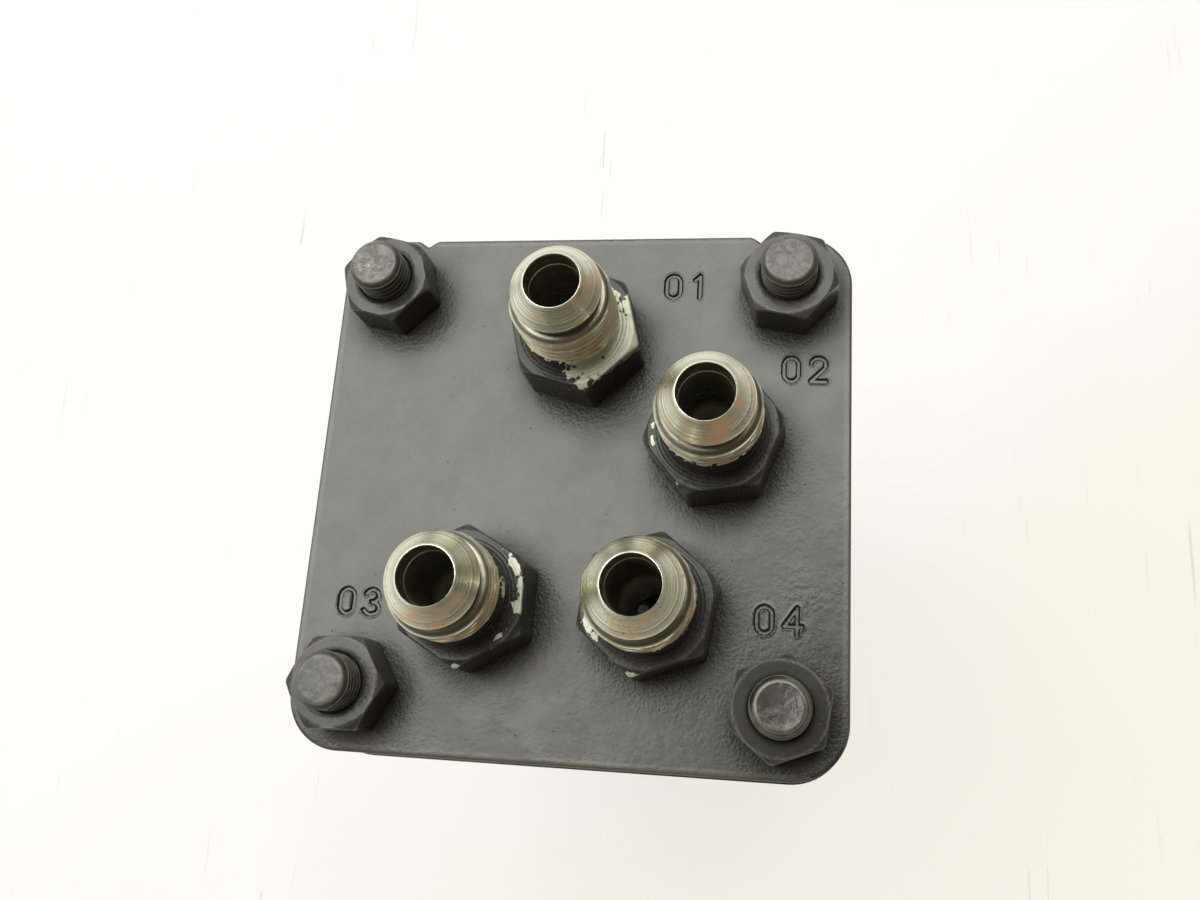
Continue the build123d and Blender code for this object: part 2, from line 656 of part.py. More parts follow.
with BuildPart() as shaft_seal:
    with BuildSketch(Plane.XZ):
        with BuildLine():
            Polyline(
                (SHAFT_BORE_R, Z_SHAFT_SEAL + 1.0), (SHAFT_BORE_R + 1.0, Z_SHAFT_SEAL),
                (SEAL_BORE_R - SEAL_GAP, Z_SHAFT_SEAL), (SEAL_BORE_R - SEAL_GAP, Z_BUSH),
                (SEAL_BORE_R - 1.2, Z_BUSH), (SEAL_BORE_R - 1.2, Z_SHAFT_SEAL + 1.6),
                (SHAFT_BORE_R + 1.1, Z_SHAFT_SEAL + 1.6),
                (SHAFT_BORE_R + 0.9, Z_BUSH - 0.6), (SHAFT_BORE_R + 0.15, Z_BUSH - 0.8),
                (SHAFT_BORE_R, Z_BUSH - 1.3), (SHAFT_BORE_R + 0.4, Z_SHAFT_SEAL + 1.6), close=True,
            )
        make_face()
    revolve(axis=Axis.Z)
shaft_seal.part.label = "shaft_seal"
export_step(shaft_seal.part, "parts/shaft_seal.step")

with BuildPart() as shaft_bushing:
    add(ring(BUSH_OUT_R, SHAFT_BORE_R, Z_BUSH, Z_THRUST))
    chamfer(shaft_bushing.edges().group_by(Axis.Z)[0].sort_by(SortBy.RADIUS)[-1], EDGE_BREAK)
shaft_bushing.part.label = "shaft_bushing"
export_step(shaft_bushing.part, "parts/shaft_bushing.step")

# ---------------------------------------------------------------- thrust bearing
with BuildPart() as thrust_race_cover:
    add(ring(THRUST_OUT_R, THRUST_IN_R, Z_THRUST, Z_THRUST + RACE_T))
thrust_race_cover.part.label = "thrust_race_cover"
export_step(thrust_race_cover.part, "parts/thrust_race_cover.step")

with BuildPart() as thrust_race_drive:
    add(ring(THRUST_OUT_R, THRUST_IN_R, Z_NEEDLE + NEEDLE_R, Z_DRIVE))
thrust_race_drive.part.label = "thrust_race_drive"
export_step(thrust_race_drive.part, "parts/thrust_race_drive.step")

NEEDLE_MID_R = (THRUST_IN_R + THRUST_OUT_R) / 2
with BuildPart() as thrust_cage:
    with BuildSketch(Plane.XY.offset(Z_NEEDLE - CAGE_T / 2)):
        Circle(THRUST_OUT_R - END_CLEAR)
        Circle(THRUST_IN_R + END_CLEAR, mode=Mode.SUBTRACT)
        with PolarLocations(NEEDLE_MID_R, NEEDLES):
            Rectangle(NEEDLE_L + 2 * SEAL_GAP, 2 * NEEDLE_R + 2 * SEAL_GAP, mode=Mode.SUBTRACT)
    extrude(amount=CAGE_T)
thrust_cage.part.label = "thrust_cage"
export_step(thrust_cage.part, "parts/thrust_cage.step")

with BuildPart() as thrust_needles:
    for k in range(NEEDLES):
        direction = Vector(cos(2 * pi * k / NEEDLES), sin(2 * pi * k / NEEDLES), 0)
        needle_start = direction * (NEEDLE_MID_R - NEEDLE_L / 2) + Vector(0, 0, Z_NEEDLE)
        with BuildSketch(Plane(origin=needle_start, x_dir=(0, 0, 1), z_dir=direction)):
            Circle(NEEDLE_R - BEARING_CLEAR)
        extrude(amount=NEEDLE_L)
thrust_needles.part.label = "thrust_needles"
export_step(thrust_needles.part, "parts/thrust_needles.step")

# ---------------------------------------------------------------- input shaft
# Drive spline, journal, tapered serrations for the steering wheel hub, and the nut thread
Z_SERRATION = -SHAFT_PLAIN
Z_RELIEF = Z_SERRATION - SERRATION_L
Z_NUT_THREAD = Z_RELIEF - NUT_RELIEF_L
Z_SHAFT_END = Z_NUT_THREAD - NUT_THREAD_L
with BuildPart() as input_shaft:
    with BuildSketch(Plane.XZ):
        with BuildLine():
            Polyline(
                (0, Z_DRIVE), (SHAFT_R, Z_DRIVE), (SHAFT_R, Z_SERRATION + EDGE_BREAK),
                (SHAFT_R - EDGE_BREAK, Z_SERRATION), (0, Z_SERRATION), close=True,
            )
        make_face()
    revolve(axis=Axis.Z)
    with BuildSketch(Plane.XY.offset(Z_RELIEF)) as serration_small:
        Polygon(
            *tooth_points(
                SERRATION_TEETH, SERRATION_R - SERRATION_TAPER,
                SERRATION_R - SERRATION_TAPER - SERRATION_DEPTH, 0.12, 0.12,
            ),
            align=None,
        )
    with BuildSketch(Plane.XY.offset(Z_SERRATION)) as serration_large:
        Polygon(
            *tooth_points(SERRATION_TEETH, SERRATION_R, SERRATION_R - SERRATION_DEPTH, 0.12, 0.12),
            align=None,
        )
    loft(ruled=True)
    with BuildSketch(Plane.XZ):
        with BuildLine():
            Polyline(
                (0, Z_RELIEF), (NUT_RELIEF_R, Z_RELIEF), (NUT_RELIEF_R, Z_NUT_THREAD),
                (NUT_THREAD_R - EDGE_BREAK, Z_NUT_THREAD),
                (NUT_THREAD_R, Z_NUT_THREAD - EDGE_BREAK), (NUT_THREAD_R, Z_SHAFT_END + 2 * EDGE_BREAK),
                (NUT_THREAD_R - 2 * EDGE_BREAK, Z_SHAFT_END), (0, Z_SHAFT_END), close=True,
            )
        make_face()
    revolve(axis=Axis.Z)
    with BuildSketch(Plane.XY.offset(Z_DRIVE)):
        Polygon(
            *tooth_points(SHAFT_SPLINE_TEETH, SHAFT_SPLINE_R, SHAFT_SPLINE_R - SPLINE_DEPTH), align=None
        )
    extrude(amount=DRIVE_PLATE_T)
input_shaft.part.label = "input_shaft"
export_step(input_shaft.part, "parts/input_shaft.step")


def screw_holes(z_low, z_high, radius=SCREW_R + SCREW_CLEAR):
    """Holes for the package screws, midway between the stator's lobes."""
    with BuildPart() as holes:
        with BuildSketch(Plane.XY.offset(z_low)):
            with PolarLocations(SCREW_CIRCLE_R, SCREWS, start_angle=180 / SCREWS):
                Circle(radius)
        extrude(amount=z_high - z_low)
    return holes.part


# ---------------------------------------------------------------- metering package
with BuildPart() as drive_plate:
    with BuildSketch(Plane.XY.offset(Z_DRIVE)):
        Circle(PACKAGE_R)
        Polygon(
            *tooth_points(
                SHAFT_SPLINE_TEETH, SHAFT_SPLINE_R + SPLINE_CLEAR,
                SHAFT_SPLINE_R - SPLINE_DEPTH + SPLINE_CLEAR, 0.36, 0.24,
            ),
            align=None, mode=Mode.SUBTRACT,
        )
    extrude(amount=DRIVE_PLATE_T)
    outer_rim = drive_plate.edges().group_by(Axis.Z)[0].filter_by(GeomType.CIRCLE)
    chamfer(outer_rim.sort_by(SortBy.RADIUS)[-1], EDGE_BREAK)
    add(screw_holes(Z_DRIVE + 1.0, Z_SPACER, SCREW_R + THREAD_CLEAR), mode=Mode.SUBTRACT)
drive_plate.part.label = "drive_plate"
export_step(drive_plate.part, "parts/drive_plate.step")

with BuildPart() as spacer_plate:
    add(ring(PACKAGE_R, SPACER_HOLE_R, Z_SPACER, Z_GEROTOR))
    add(screw_holes(Z_SPACER, Z_GEROTOR), mode=Mode.SUBTRACT)
spacer_plate.part.label = "spacer_plate"
export_step(spacer_plate.part, "parts/spacer_plate.step")

STATOR_BORE_R = LOBE_CIRCLE_R - LOBE_R + 2 * ECCENTRIC + LOBE_TIP_CLEAR
with BuildPart() as stator:
    with BuildSketch(Plane.XY.offset(Z_GEROTOR)):
        Circle(PACKAGE_R)
        Circle(STATOR_BORE_R, mode=Mode.SUBTRACT)
        with PolarLocations(LOBE_CIRCLE_R, STATOR_LOBES):
            Circle(LOBE_R - GEROTOR_CLEAR)
    extrude(amount=GEROTOR_T)
    add(screw_holes(Z_GEROTOR, Z_COMM), mode=Mode.SUBTRACT)
stator.part.label = "stator"
export_step(stator.part, "parts/stator.step")

COMM_CAVITY_R = COMM_OUT_R + ECCENTRIC + COMM_RUN
with BuildPart() as commutator_housing:
    add(ring(PACKAGE_R, COMM_CAVITY_R, Z_COMM, Z_COMM_COVER))
    add(screw_holes(Z_COMM, Z_COMM_COVER), mode=Mode.SUBTRACT)
commutator_housing.part.label = "commutator_housing"
export_step(commutator_housing.part, "parts/commutator_housing.step")

with BuildPart() as commutator_cover:
    add(ring(PACKAGE_R, LINK_HOLE_R, Z_COMM_COVER, Z_PACKAGE))
    add(screw_holes(Z_COMM_COVER, Z_PACKAGE), mode=Mode.SUBTRACT)
    add(
        screw_holes(Z_PACKAGE - SCREW_HEAD_H, Z_PACKAGE, SCREW_HEAD_R + SCREW_CLEAR),
        mode=Mode.SUBTRACT,
    )
    add(
        ring(
            FACE_SEAL_R + FACE_SEAL_W / 2, FACE_SEAL_R - FACE_SEAL_W / 2,
            Z_PACKAGE - FACE_SEAL_DEPTH, Z_PACKAGE,
        ),
        mode=Mode.SUBTRACT,
    )
commutator_cover.part.label = "commutator_cover"
export_step(commutator_cover.part, "parts/commutator_cover.step")

with BuildPart() as metering_screws:
    with BuildSketch(Plane.XY.offset(Z_DRIVE + 1.5)):
        with PolarLocations(SCREW_CIRCLE_R, SCREWS, start_angle=180 / SCREWS):
            Circle(SCREW_R)
    extrude(amount=Z_PACKAGE - SCREW_HEAD_H - Z_DRIVE - 1.5)
    with BuildSketch(Plane.XY.offset(Z_PACKAGE - SCREW_HEAD_H)):
        with PolarLocations(SCREW_CIRCLE_R, SCREWS, start_angle=180 / SCREWS):
            Circle(SCREW_HEAD_R)
    extrude(amount=SCREW_HEAD_H)
    with BuildSketch(Plane.XY.offset(Z_PACKAGE - SCREW_HEAD_H / 2)):
        with PolarLocations(SCREW_CIRCLE_R, SCREWS, start_angle=180 / SCREWS):
            RegularPolygon(SCREW_R * 0.8, 6)
    extrude(amount=SCREW_HEAD_H / 2, mode=Mode.SUBTRACT)
metering_screws.part.label = "metering_screws"
export_step(metering_screws.part, "parts/metering_screws.step")

SEAL_TOP = Z_ISOLATION - SEAL_GAP
with BuildPart() as face_seal_backup:
    add(
        ring(
            FACE_SEAL_R + FACE_SEAL_W / 2 - SEAL_GAP, FACE_SEAL_R - FACE_SEAL_W / 2 + SEAL_GAP,
            Z_PACKAGE - FACE_SEAL_DEPTH, Z_PACKAGE - FACE_SEAL_DEPTH + BACKUP_T,
        )
    )
face_seal_backup.part.label = "face_seal_backup"
export_step(face_seal_backup.part, "parts/face_seal_backup.step")

with BuildPart() as face_seal:
    add(
        ring(
            FACE_SEAL_R + FACE_SEAL_W / 2 - SEAL_GAP, FACE_SEAL_R - FACE_SEAL_W / 2 + SEAL_GAP,
            Z_PACKAGE - FACE_SEAL_DEPTH + BACKUP_T, SEAL_TOP,
        )
    )
face_seal.part.label = "face_seal"
export_step(face_seal.part, "parts/face_seal.step")

# ---------------------------------------------------------------- rotor and commutator
OUTLINE_POINTS = 16 * (STATOR_LOBES - 1)
with BuildPart() as rotor:
    with BuildSketch(Plane(origin=(-ECCENTRIC, 0, Z_GEROTOR + ROTOR_FACE_CLEAR))):
        with BuildLine():
            Spline(
                *[rotor_point(2 * pi * k / OUTLINE_POINTS) for k in range(OUTLINE_POINTS)],
                periodic=True,
            )
        make_face()
    extrude(amount=GEROTOR_T - 2 * ROTOR_FACE_CLEAR)
    with BuildSketch(Plane(origin=(-ECCENTRIC, 0, Z_GEROTOR + GEROTOR_T / 2))):
        Circle(HUB_R)
    extrude(amount=GEROTOR_T / 2 + COMM_HOUSING_T - 2 * SEAL_GAP)
    with BuildSketch(Plane(origin=(-ECCENTRIC, 0, Z_COMM))):
        Circle(HUB_BORE_R)
    extrude(amount=COMM_HOUSING_T, mode=Mode.SUBTRACT)
    with BuildSketch(Plane(origin=(-ECCENTRIC, 0, Z_GEROTOR))):
        Polygon(
            *tooth_points(
                LINK_TEETH, LINK_TIP_R + LINK_CLEAR, LINK_ROOT_R + LINK_CLEAR, 0.52, 0.10
            ),
            align=None,
        )
    extrude(amount=GEROTOR_T, mode=Mode.SUBTRACT)
rotor.part.label = "rotor"
export_step(rotor.part, "parts/rotor.step")

with BuildPart() as commutator:
    with BuildSketch(Plane(origin=(-ECCENTRIC, 0, Z_COMM + SEAL_GAP))):
        Circle(COMM_OUT_R)
        Circle(HUB_R + COMM_RUN, mode=Mode.SUBTRACT)
        with PolarLocations((COMM_OUT_R + HUB_R) / 2, COMM_PORTS):
            Circle(COMM_PORT_R, mode=Mode.SUBTRACT)
    extrude(amount=COMM_HOUSING_T - 2 * SEAL_GAP)
commutator.part.label = "commutator"
export_step(commutator.part, "parts/commutator.step")

# ---------------------------------------------------------------- drive link
# Leans from the valve plate's centre to the rotor's, with a crowned spline and a crowned hexagon
Z_LINK_VALVE = Z_VALVE + VALVE_RING_T / 2
Z_LINK_ROTOR = Z_GEROTOR + GEROTOR_T / 2
LINK_DROP = Z_LINK_VALVE - Z_LINK_ROTOR
LINK_L = hypot(LINK_DROP, ECCENTRIC)
link_plane = Plane(
    origin=(0, 0, Z_LINK_VALVE),
    x_dir=(LINK_DROP, 0, -ECCENTRIC),
    z_dir=(ECCENTRIC, 0, LINK_DROP),
)
LINK_HEX_R = LINK_HEX_AF / sqrt(3)
with BuildPart() as drive_link:
    with BuildSketch(link_plane.offset(-LINK_L - LINK_HEAD_L / 2)):
        Polygon(*tooth_points(LINK_TEETH, LINK_TIP_R, LINK_ROOT_R), align=None)
    extrude(amount=LINK_L)
    with BuildSketch(link_plane.offset(-LINK_HEAD_L / 2)):
        RegularPolygon(LINK_HEX_R, 6)
    extrude(amount=LINK_HEAD_L / 2 + LINK_HEX_L / 2)
    barrel_plane = Plane(origin=link_plane.origin, x_dir=link_plane.x_dir, z_dir=-link_plane.y_dir)
    with BuildSketch(barrel_plane):
        with BuildLine():
            Polyline(
                (LINK_TIP_R - 0.5, -LINK_L - LINK_HEAD_L / 2), (0, -LINK_L - LINK_HEAD_L / 2),
                (0, LINK_HEX_L / 2), (LINK_HEX_R - 0.6, LINK_HEX_L / 2),
            )
            ThreePointArc(
                (LINK_HEX_R - 0.6, LINK_HEX_L / 2), (LINK_HEX_R, 0), (LINK_HEX_R - 0.6, -LINK_HEX_L / 2)
            )
            Polyline(
                (LINK_HEX_R - 0.6, -LINK_HEX_L / 2), (LINK_SHAFT_R, -LINK_HEX_L / 2 - 1.0),
                (LINK_SHAFT_R, -LINK_L + LINK_HEAD_L / 2 + 2.0),
                (LINK_TIP_R - 0.5, -LINK_L + LINK_HEAD_L / 2),
            )
            ThreePointArc(
                (LINK_TIP_R - 0.5, -LINK_L + LINK_HEAD_L / 2), (LINK_TIP_R, -LINK_L),
                (LINK_TIP_R - 0.5, -LINK_L - LINK_HEAD_L / 2),
            )
        make_face()
    revolve(axis=Axis(link_plane.origin, link_plane.z_dir), mode=Mode.INTERSECT)
drive_link.part.label = "drive_link"
export_step(drive_link.part, "parts/drive_link.step")

# ---------------------------------------------------------------- valve plate and springs
with BuildPart() as valve_plate:
    with BuildSketch(Plane.XY.offset(Z_VALVE + VALVE_FACE_CLEAR)):
        Circle(VALVE_PLATE_R)
        Rectangle(2 * TANG_R, TANG_W)
        RegularPolygon(
            LINK_HEX_AF / 2 + LINK_HEX_CLEAR, 6, major_radius=False, mode=Mode.SUBTRACT
        )
        slot_mid_r = (VALVE_SLOT_IN_R + VALVE_SLOT_OUT_R) / 2
        with PolarLocations(slot_mid_r, VALVE_SLOTS, start_angle=180 / VALVE_SLOTS):
            SlotOverall(VALVE_SLOT_OUT_R - VALVE_SLOT_IN_R, VALVE_SLOT_W, mode=Mode.SUBTRACT)
    extrude(amount=VALVE_RING_T - 2 * VALVE_FACE_CLEAR)
valve_plate.part.label = "valve_plate"
export_step(valve_plate.part, "parts/valve_plate.step")

# Four bowed leaves, one on each side of each tang: ends on the window wall, middle on the tang
SPRING_L = WINDOW_R - VALVE_PLATE_R - 2 * SPRING_GAP
BOW = SPRING_SPACE - SPRING_T - 2 * SPRING_GAP
with BuildPart() as valve_springs:
    for side_x, side_y in CORNERS.values():
        x_mid = side_x * (WINDOW_R + VALVE_PLATE_R) / 2
        y_wall = side_y * (WINDOW_W / 2 - SPRING_GAP)
        y_tang = y_wall - side_y * BOW
        with BuildSketch(Plane.XY.offset(Z_VALVE + EDGE_BREAK)):
            with BuildLine():
                ThreePointArc(
                    (x_mid - SPRING_L / 2, y_wall), (x_mid, y_tang), (x_mid + SPRING_L / 2, y_wall)
                )
                Line(
                    (x_mid + SPRING_L / 2, y_wall), (x_mid + SPRING_L / 2, y_wall - side_y * SPRING_T)
                )
                ThreePointArc(
                    (x_mid + SPRING_L / 2, y_wall - side_y * SPRING_T),
                    (x_mid, y_tang - side_y * SPRING_T),
                    (x_mid - SPRING_L / 2, y_wall - side_y * SPRING_T),
                )
                Line(
                    (x_mid - SPRING_L / 2, y_wall - side_y * SPRING_T), (x_mid - SPRING_L / 2, y_wall)
                )
            make_face()
        extrude(amount=VALVE_RING_T - 2 * EDGE_BREAK)
valve_springs.part.label = "valve_springs"
export_step(valve_springs.part, "parts/valve_springs.step")
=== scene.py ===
import math

import bmesh
import bpy
import numpy as np
from mathutils import Matrix, Vector


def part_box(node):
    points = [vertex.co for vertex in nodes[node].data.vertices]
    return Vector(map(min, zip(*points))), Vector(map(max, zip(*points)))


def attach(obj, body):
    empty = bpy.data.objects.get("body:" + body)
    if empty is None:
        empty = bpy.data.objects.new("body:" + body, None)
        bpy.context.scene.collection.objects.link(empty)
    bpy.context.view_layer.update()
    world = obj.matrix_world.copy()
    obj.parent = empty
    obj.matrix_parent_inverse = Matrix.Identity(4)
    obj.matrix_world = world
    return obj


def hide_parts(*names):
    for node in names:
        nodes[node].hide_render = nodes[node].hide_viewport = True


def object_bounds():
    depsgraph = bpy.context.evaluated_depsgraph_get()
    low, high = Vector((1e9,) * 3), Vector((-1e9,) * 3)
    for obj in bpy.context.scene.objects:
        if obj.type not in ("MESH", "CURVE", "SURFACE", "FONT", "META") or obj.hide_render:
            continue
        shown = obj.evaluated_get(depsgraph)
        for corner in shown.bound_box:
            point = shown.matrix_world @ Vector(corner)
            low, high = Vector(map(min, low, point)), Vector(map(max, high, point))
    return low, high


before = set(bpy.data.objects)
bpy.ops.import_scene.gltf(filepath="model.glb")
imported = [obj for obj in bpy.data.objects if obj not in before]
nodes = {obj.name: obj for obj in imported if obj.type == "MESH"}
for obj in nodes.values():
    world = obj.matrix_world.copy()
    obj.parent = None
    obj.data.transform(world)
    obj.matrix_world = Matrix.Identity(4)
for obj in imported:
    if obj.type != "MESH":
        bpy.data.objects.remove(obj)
cad_box = [[float(value) for value in corner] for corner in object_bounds()]

# ---------------------------------------------------------------- port cover
# The square steel cover that closes the stack: sawn from plate, drilled for four ports and four
# bolts, stamped with a plain number at each port and sprayed black with the nuts and fittings
# in place, so the paint is rough and thrown about round them.
MM = 0.001
COVER_CORNER = 8.0
COVER_EDGE = 0.4
COVER_BASE_ROWS = 5
NOTCH_HALF_W = 1.7
NOTCH_DEPTH = 1.1
NOTCH_EDGE_LEFT = 13.1
NOTCH_EDGE_RIGHT = 13.4
FINE_CELL = 0.13
COARSE_CELL = 0.42
STAMP_HEIGHT = 3.6
STAMP_WIDTH = 2.5
STAMP_STEP = 3.9
STAMP_DEPTH = 0.32
STAMP_HALF_W = 0.22
STAMP_WALL = 0.15
STAMP_LIP = 0.06
STAMP_ZONE = (4.4, 2.6)
PORT_HOLE_R = 7.144
BOLT_HOLE_R = 4.15
# Paint that was thrown about: its reach from a fitting and a nut, its width towards the gun and
# how much it widens away from it, and one more rough patch beside the lower right nut
FITTING_REACH = 8.9
NUT_REACH = 6.6
SPRAY_FROM = 50.0
SPRAY_WIDTH = 1.1
SPRAY_LEE = 3.0
PATCH_PLACE = (23.0, -25.0)
PATCH_SIZE = (9.0, 8.0)
PATCH_SHARE = 0.22
WRINKLE_HEIGHT = 0.014
PEEL_HEIGHT = 0.008
WAVE_HEIGHT = 0.012
PORT_NAMES = ("out", "in", "right", "left")

cover_low, cover_high = (np.array(corner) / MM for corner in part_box("port_cover"))
COVER_HALF = float(cover_high[0])
FACE_Z = float(cover_high[2])
COVER_T = float(cover_high[2] - cover_low[2])


def node_axis(node):
    """The middle of a node's box in millimetres: half the sum of its lowest and highest corners."""
    low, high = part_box(node)
    return tuple((low[k] + high[k]) / 2 / MM for k in range(3))


ports = {name: node_axis("fitting_" + name)[:2] for name in PORT_NAMES}
studs = {number: node_axis(f"clamp_nut_{number}")[:2] for number in (1, 2, 3, 4)}
STAMPS = {"01": (15.1, 31.45), "02": (33.0, 18.25), "03": (-30.8, -18.4), "04": (30.0, -18.4)}


def lattice_noise(x, y, cell, seed):
    """Smooth noise from -1 to 1: random values at the corners of square cells, blended between them
    with the weights 3t^2 - 2t^3."""
    values = np.random.default_rng(seed).uniform(-1, 1, (257, 257))
    column = x / cell + 64.37
    row = y / cell + 71.91
    i = np.floor(column).astype(int)
    j = np.floor(row).astype(int)
    s = column - i
    t = row - j
    s = s * s * (3 - 2 * s)
    t = t * t * (3 - 2 * t)
    a = values[j % 257, i % 257] * (1 - s) + values[j % 257, (i + 1) % 257] * s
    b = values[(j + 1) % 257, i % 257] * (1 - s) + values[(j + 1) % 257, (i + 1) % 257] * s
    return a * (1 - t) + b * t


def arc(middle, radii, first, last, count=14):
    """Points of an elliptical arc, angles in degrees."""
    angle = np.radians(np.linspace(first, last, count))
    return [(middle[0] + radii[0] * np.cos(a), middle[1] + radii[1] * np.sin(a)) for a in angle]


# Digits as pen strokes in a box one wide and one high
DIGITS = {
    "0": [arc((0.5, 0.7), (0.42, 0.3), 0, 180) + arc((0.5, 0.3), (0.42, 0.3), 180, 360) + [(0.92, 0.7)]],
    "1": [[(0.25, 0.8), (0.55, 1.0), (0.55, 0.0)]],
    "2": [arc((0.5, 0.72), (0.42, 0.28), 170, -35) + [(0.06, 0.0), (0.95, 0.0)]],
    "3": [arc((0.46, 0.75), (0.4, 0.25), 160, -90) + arc((0.46, 0.25), (0.46, 0.25), 84, -160)],
    "4": [[(0.72, 0.0), (0.72, 1.0), (0.02, 0.3), (0.98, 0.3)]],
}


def dense_line(half, spans):
    """Grid lines from -half to half, closer inside the spans: the running sum of the density
    1/cell, cut into equal steps."""
    place = np.linspace(-half, half, 8001)
    cell = np.full(place.shape, COARSE_CELL)
    for low, high in spans:
        cell[(place > low) & (place < high)] = FINE_CELL
    total = np.concatenate([[0], np.cumsum(np.diff(place) / cell[1:])])
    steps = int(round(total[-1]))
    return np.interp(np.linspace(0, total[-1], steps + 1), total, place)


def rounded_square(x, y, half, corner):
    """Eases a square grid into a rounded square: inside each corner block the unit square goes to
    a quarter disc, p' = p sqrt(1 - q^2/2) and q' = q sqrt(1 - p^2/2)."""
    inner = half - corner
    p = np.clip((np.abs(x) - inner) / corner, 0, 1)
    q = np.clip((np.abs(y) - inner) / corner, 0, 1)
    eased_x = np.where(p > 0, np.sign(x) * (inner + corner * p * np.sqrt(1 - q * q / 2)), x)
    eased_y = np.where(q > 0, np.sign(y) * (inner + corner * q * np.sqrt(1 - p * p / 2)), y)
    return eased_x, eased_y


def notched(x, y):
    """Pulls the +Y edge in at the two notches: the depth falls as a cosine from each notch's
    middle, and fades over the 3 mm behind the edge."""
    depth = np.zeros(x.shape)
    for middle in (NOTCH_EDGE_LEFT - COVER_HALF, COVER_HALF - NOTCH_EDGE_RIGHT):
        share = np.clip(np.abs(x - middle) / NOTCH_HALF_W, 0, 1)
        depth += NOTCH_DEPTH * np.clip(1.25 * (1 - share), 0, 1) ** 1.2
    return y - depth * np.clip((y - COVER_HALF + 3) / 3, 0, 1)


def stroke_gap(x, y):
    """Distance to the nearest pen stroke of the stamped numbers, 9 mm where none is near: the
    least of the distances to each straight piece of each stroke."""
    nearest = np.full(x.shape, 9.0)
    for text, (mid_x, mid_y) in STAMPS.items():
        close = (np.abs(x - mid_x) < 6) & (np.abs(y - mid_y) < 4)
        px = x[close]
        py = y[close]
        found = nearest[close]
        for place, digit in enumerate(text):
            left = mid_x + (place - (len(text) - 1) / 2) * STAMP_STEP - STAMP_WIDTH / 2
            for stroke in DIGITS[digit]:
                points = np.array(stroke) * (STAMP_WIDTH, STAMP_HEIGHT)
                points += (left, mid_y - STAMP_HEIGHT / 2)
                for start, end in zip(points[:-1], points[1:]):
                    step = end - start
                    along = ((px - start[0]) * step[0] + (py - start[1]) * step[1]) / (step @ step)
                    along = np.clip(along, 0, 1)
                    gap = np.hypot(px - start[0] - along * step[0], py - start[1] - along * step[1])
                    found = np.minimum(found, gap)
        nearest[close] = found
    return nearest


def stamp_height(nearest):
    """Depth of the stamped numbers: a flat groove along each pen stroke with steep walls, and a
    low lip thrown up beside it."""
    wall = np.clip((nearest - STAMP_HALF_W) / STAMP_WALL, 0, 1)
    groove = -STAMP_DEPTH * (1 - wall * wall * (3 - 2 * wall))
    lip = STAMP_LIP * np.exp(-(((nearest - STAMP_HALF_W - STAMP_WALL - 0.12) / 0.12) ** 2))
    return groove + lip


def overspray(x, y):
    """How thick and rough the paint lies, 0 to 1: high beside a fitting or a nut, falling off as
    a bell over a few millimetres, more on the side away from the spray gun."""
    share = np.zeros(x.shape)
    sources = [(middle, FITTING_REACH) for middle in ports.values()]
    sources += [(middle, NUT_REACH) for middle in studs.values()]
    for (mid_x, mid_y), reach in sources:
        gap = np.hypot(x - mid_x, y - mid_y) - reach
        lee = 0.5 + 0.5 * np.cos(np.arctan2(y - mid_y, x - mid_x) + math.radians(SPRAY_FROM))
        width = SPRAY_WIDTH + SPRAY_LEE * lee
        share = np.maximum(share, (0.5 + 0.5 * lee) * np.exp(-((np.clip(gap, 0, 99) / width) ** 1.5)))
    off_x = (x - PATCH_PLACE[0]) / PATCH_SIZE[0]
    off_y = (y - PATCH_PLACE[1]) / PATCH_SIZE[1]
    patch = np.exp(-((off_x**2 + off_y**2) ** 2))
    return np.maximum(share, PATCH_SHARE * patch)


def plate_relief(x, y):
    """Height of the painted face over its nominal plane, in millimetres: the stamped numbers,
    orange peel, the rough ring of overspray and a slow wave of the sawn plate."""
    rough = overspray(x, y)
    wrinkle = lattice_noise(x, y, 0.75, 3) + 0.7 * lattice_noise(x, y, 0.48, 4)
    peel = lattice_noise(x, y, 1.1, 5)
    wave = lattice_noise(x, y, 9.0, 6)
    calm = np.clip(1.2 - rough * 1.2, 0, 1)
    paint = WRINKLE_HEIGHT * rough * wrinkle + PEEL_HEIGHT * peel * calm
    return stamp_height(stroke_gap(x, y)) + paint + WAVE_HEIGHT * wave


def grid_faces(rows, columns, start=0, close_rows=False, close_columns=False):
    """Quads of a grid whose vertices run along each row: (r, c), (r, c+1), (r+1, c+1), (r+1, c)."""
    r = np.arange(rows if close_rows else rows - 1)
    c = np.arange(columns if close_columns else columns - 1)
    r, c = (a.ravel() for a in np.meshgrid(r, c, indexing="ij"))
    r2 = (r + 1) % rows
    c2 = (c + 1) % columns
    return start + np.stack([r * columns + c, r * columns + c2, r2 * columns + c2, r2 * columns + c], 1)


def new_piece(name, points, faces, attributes=None, sharp=38.0):
    """A mesh object from points in millimetres, its faces and one number per point for each named
    attribute; edges over the sharp angle stay crisp."""
    mesh = bpy.data.meshes.new(name)
    points = np.reshape(points, (-1, 3)) * MM
    mesh.from_pydata(points.tolist(), [], [list(map(int, face)) for face in faces])
    for key, values in (attributes or {}).items():
        layer = mesh.attributes.new(key, "FLOAT", "POINT")
        layer.data.foreach_set("value", np.ravel(values).astype(np.float32))
    mesh.update()
    mesh.shade_smooth()
    mesh.set_sharp_from_angle(angle=math.radians(sharp))
    piece = bpy.data.objects.new(name, mesh)
    bpy.context.scene.collection.objects.link(piece)
    return piece


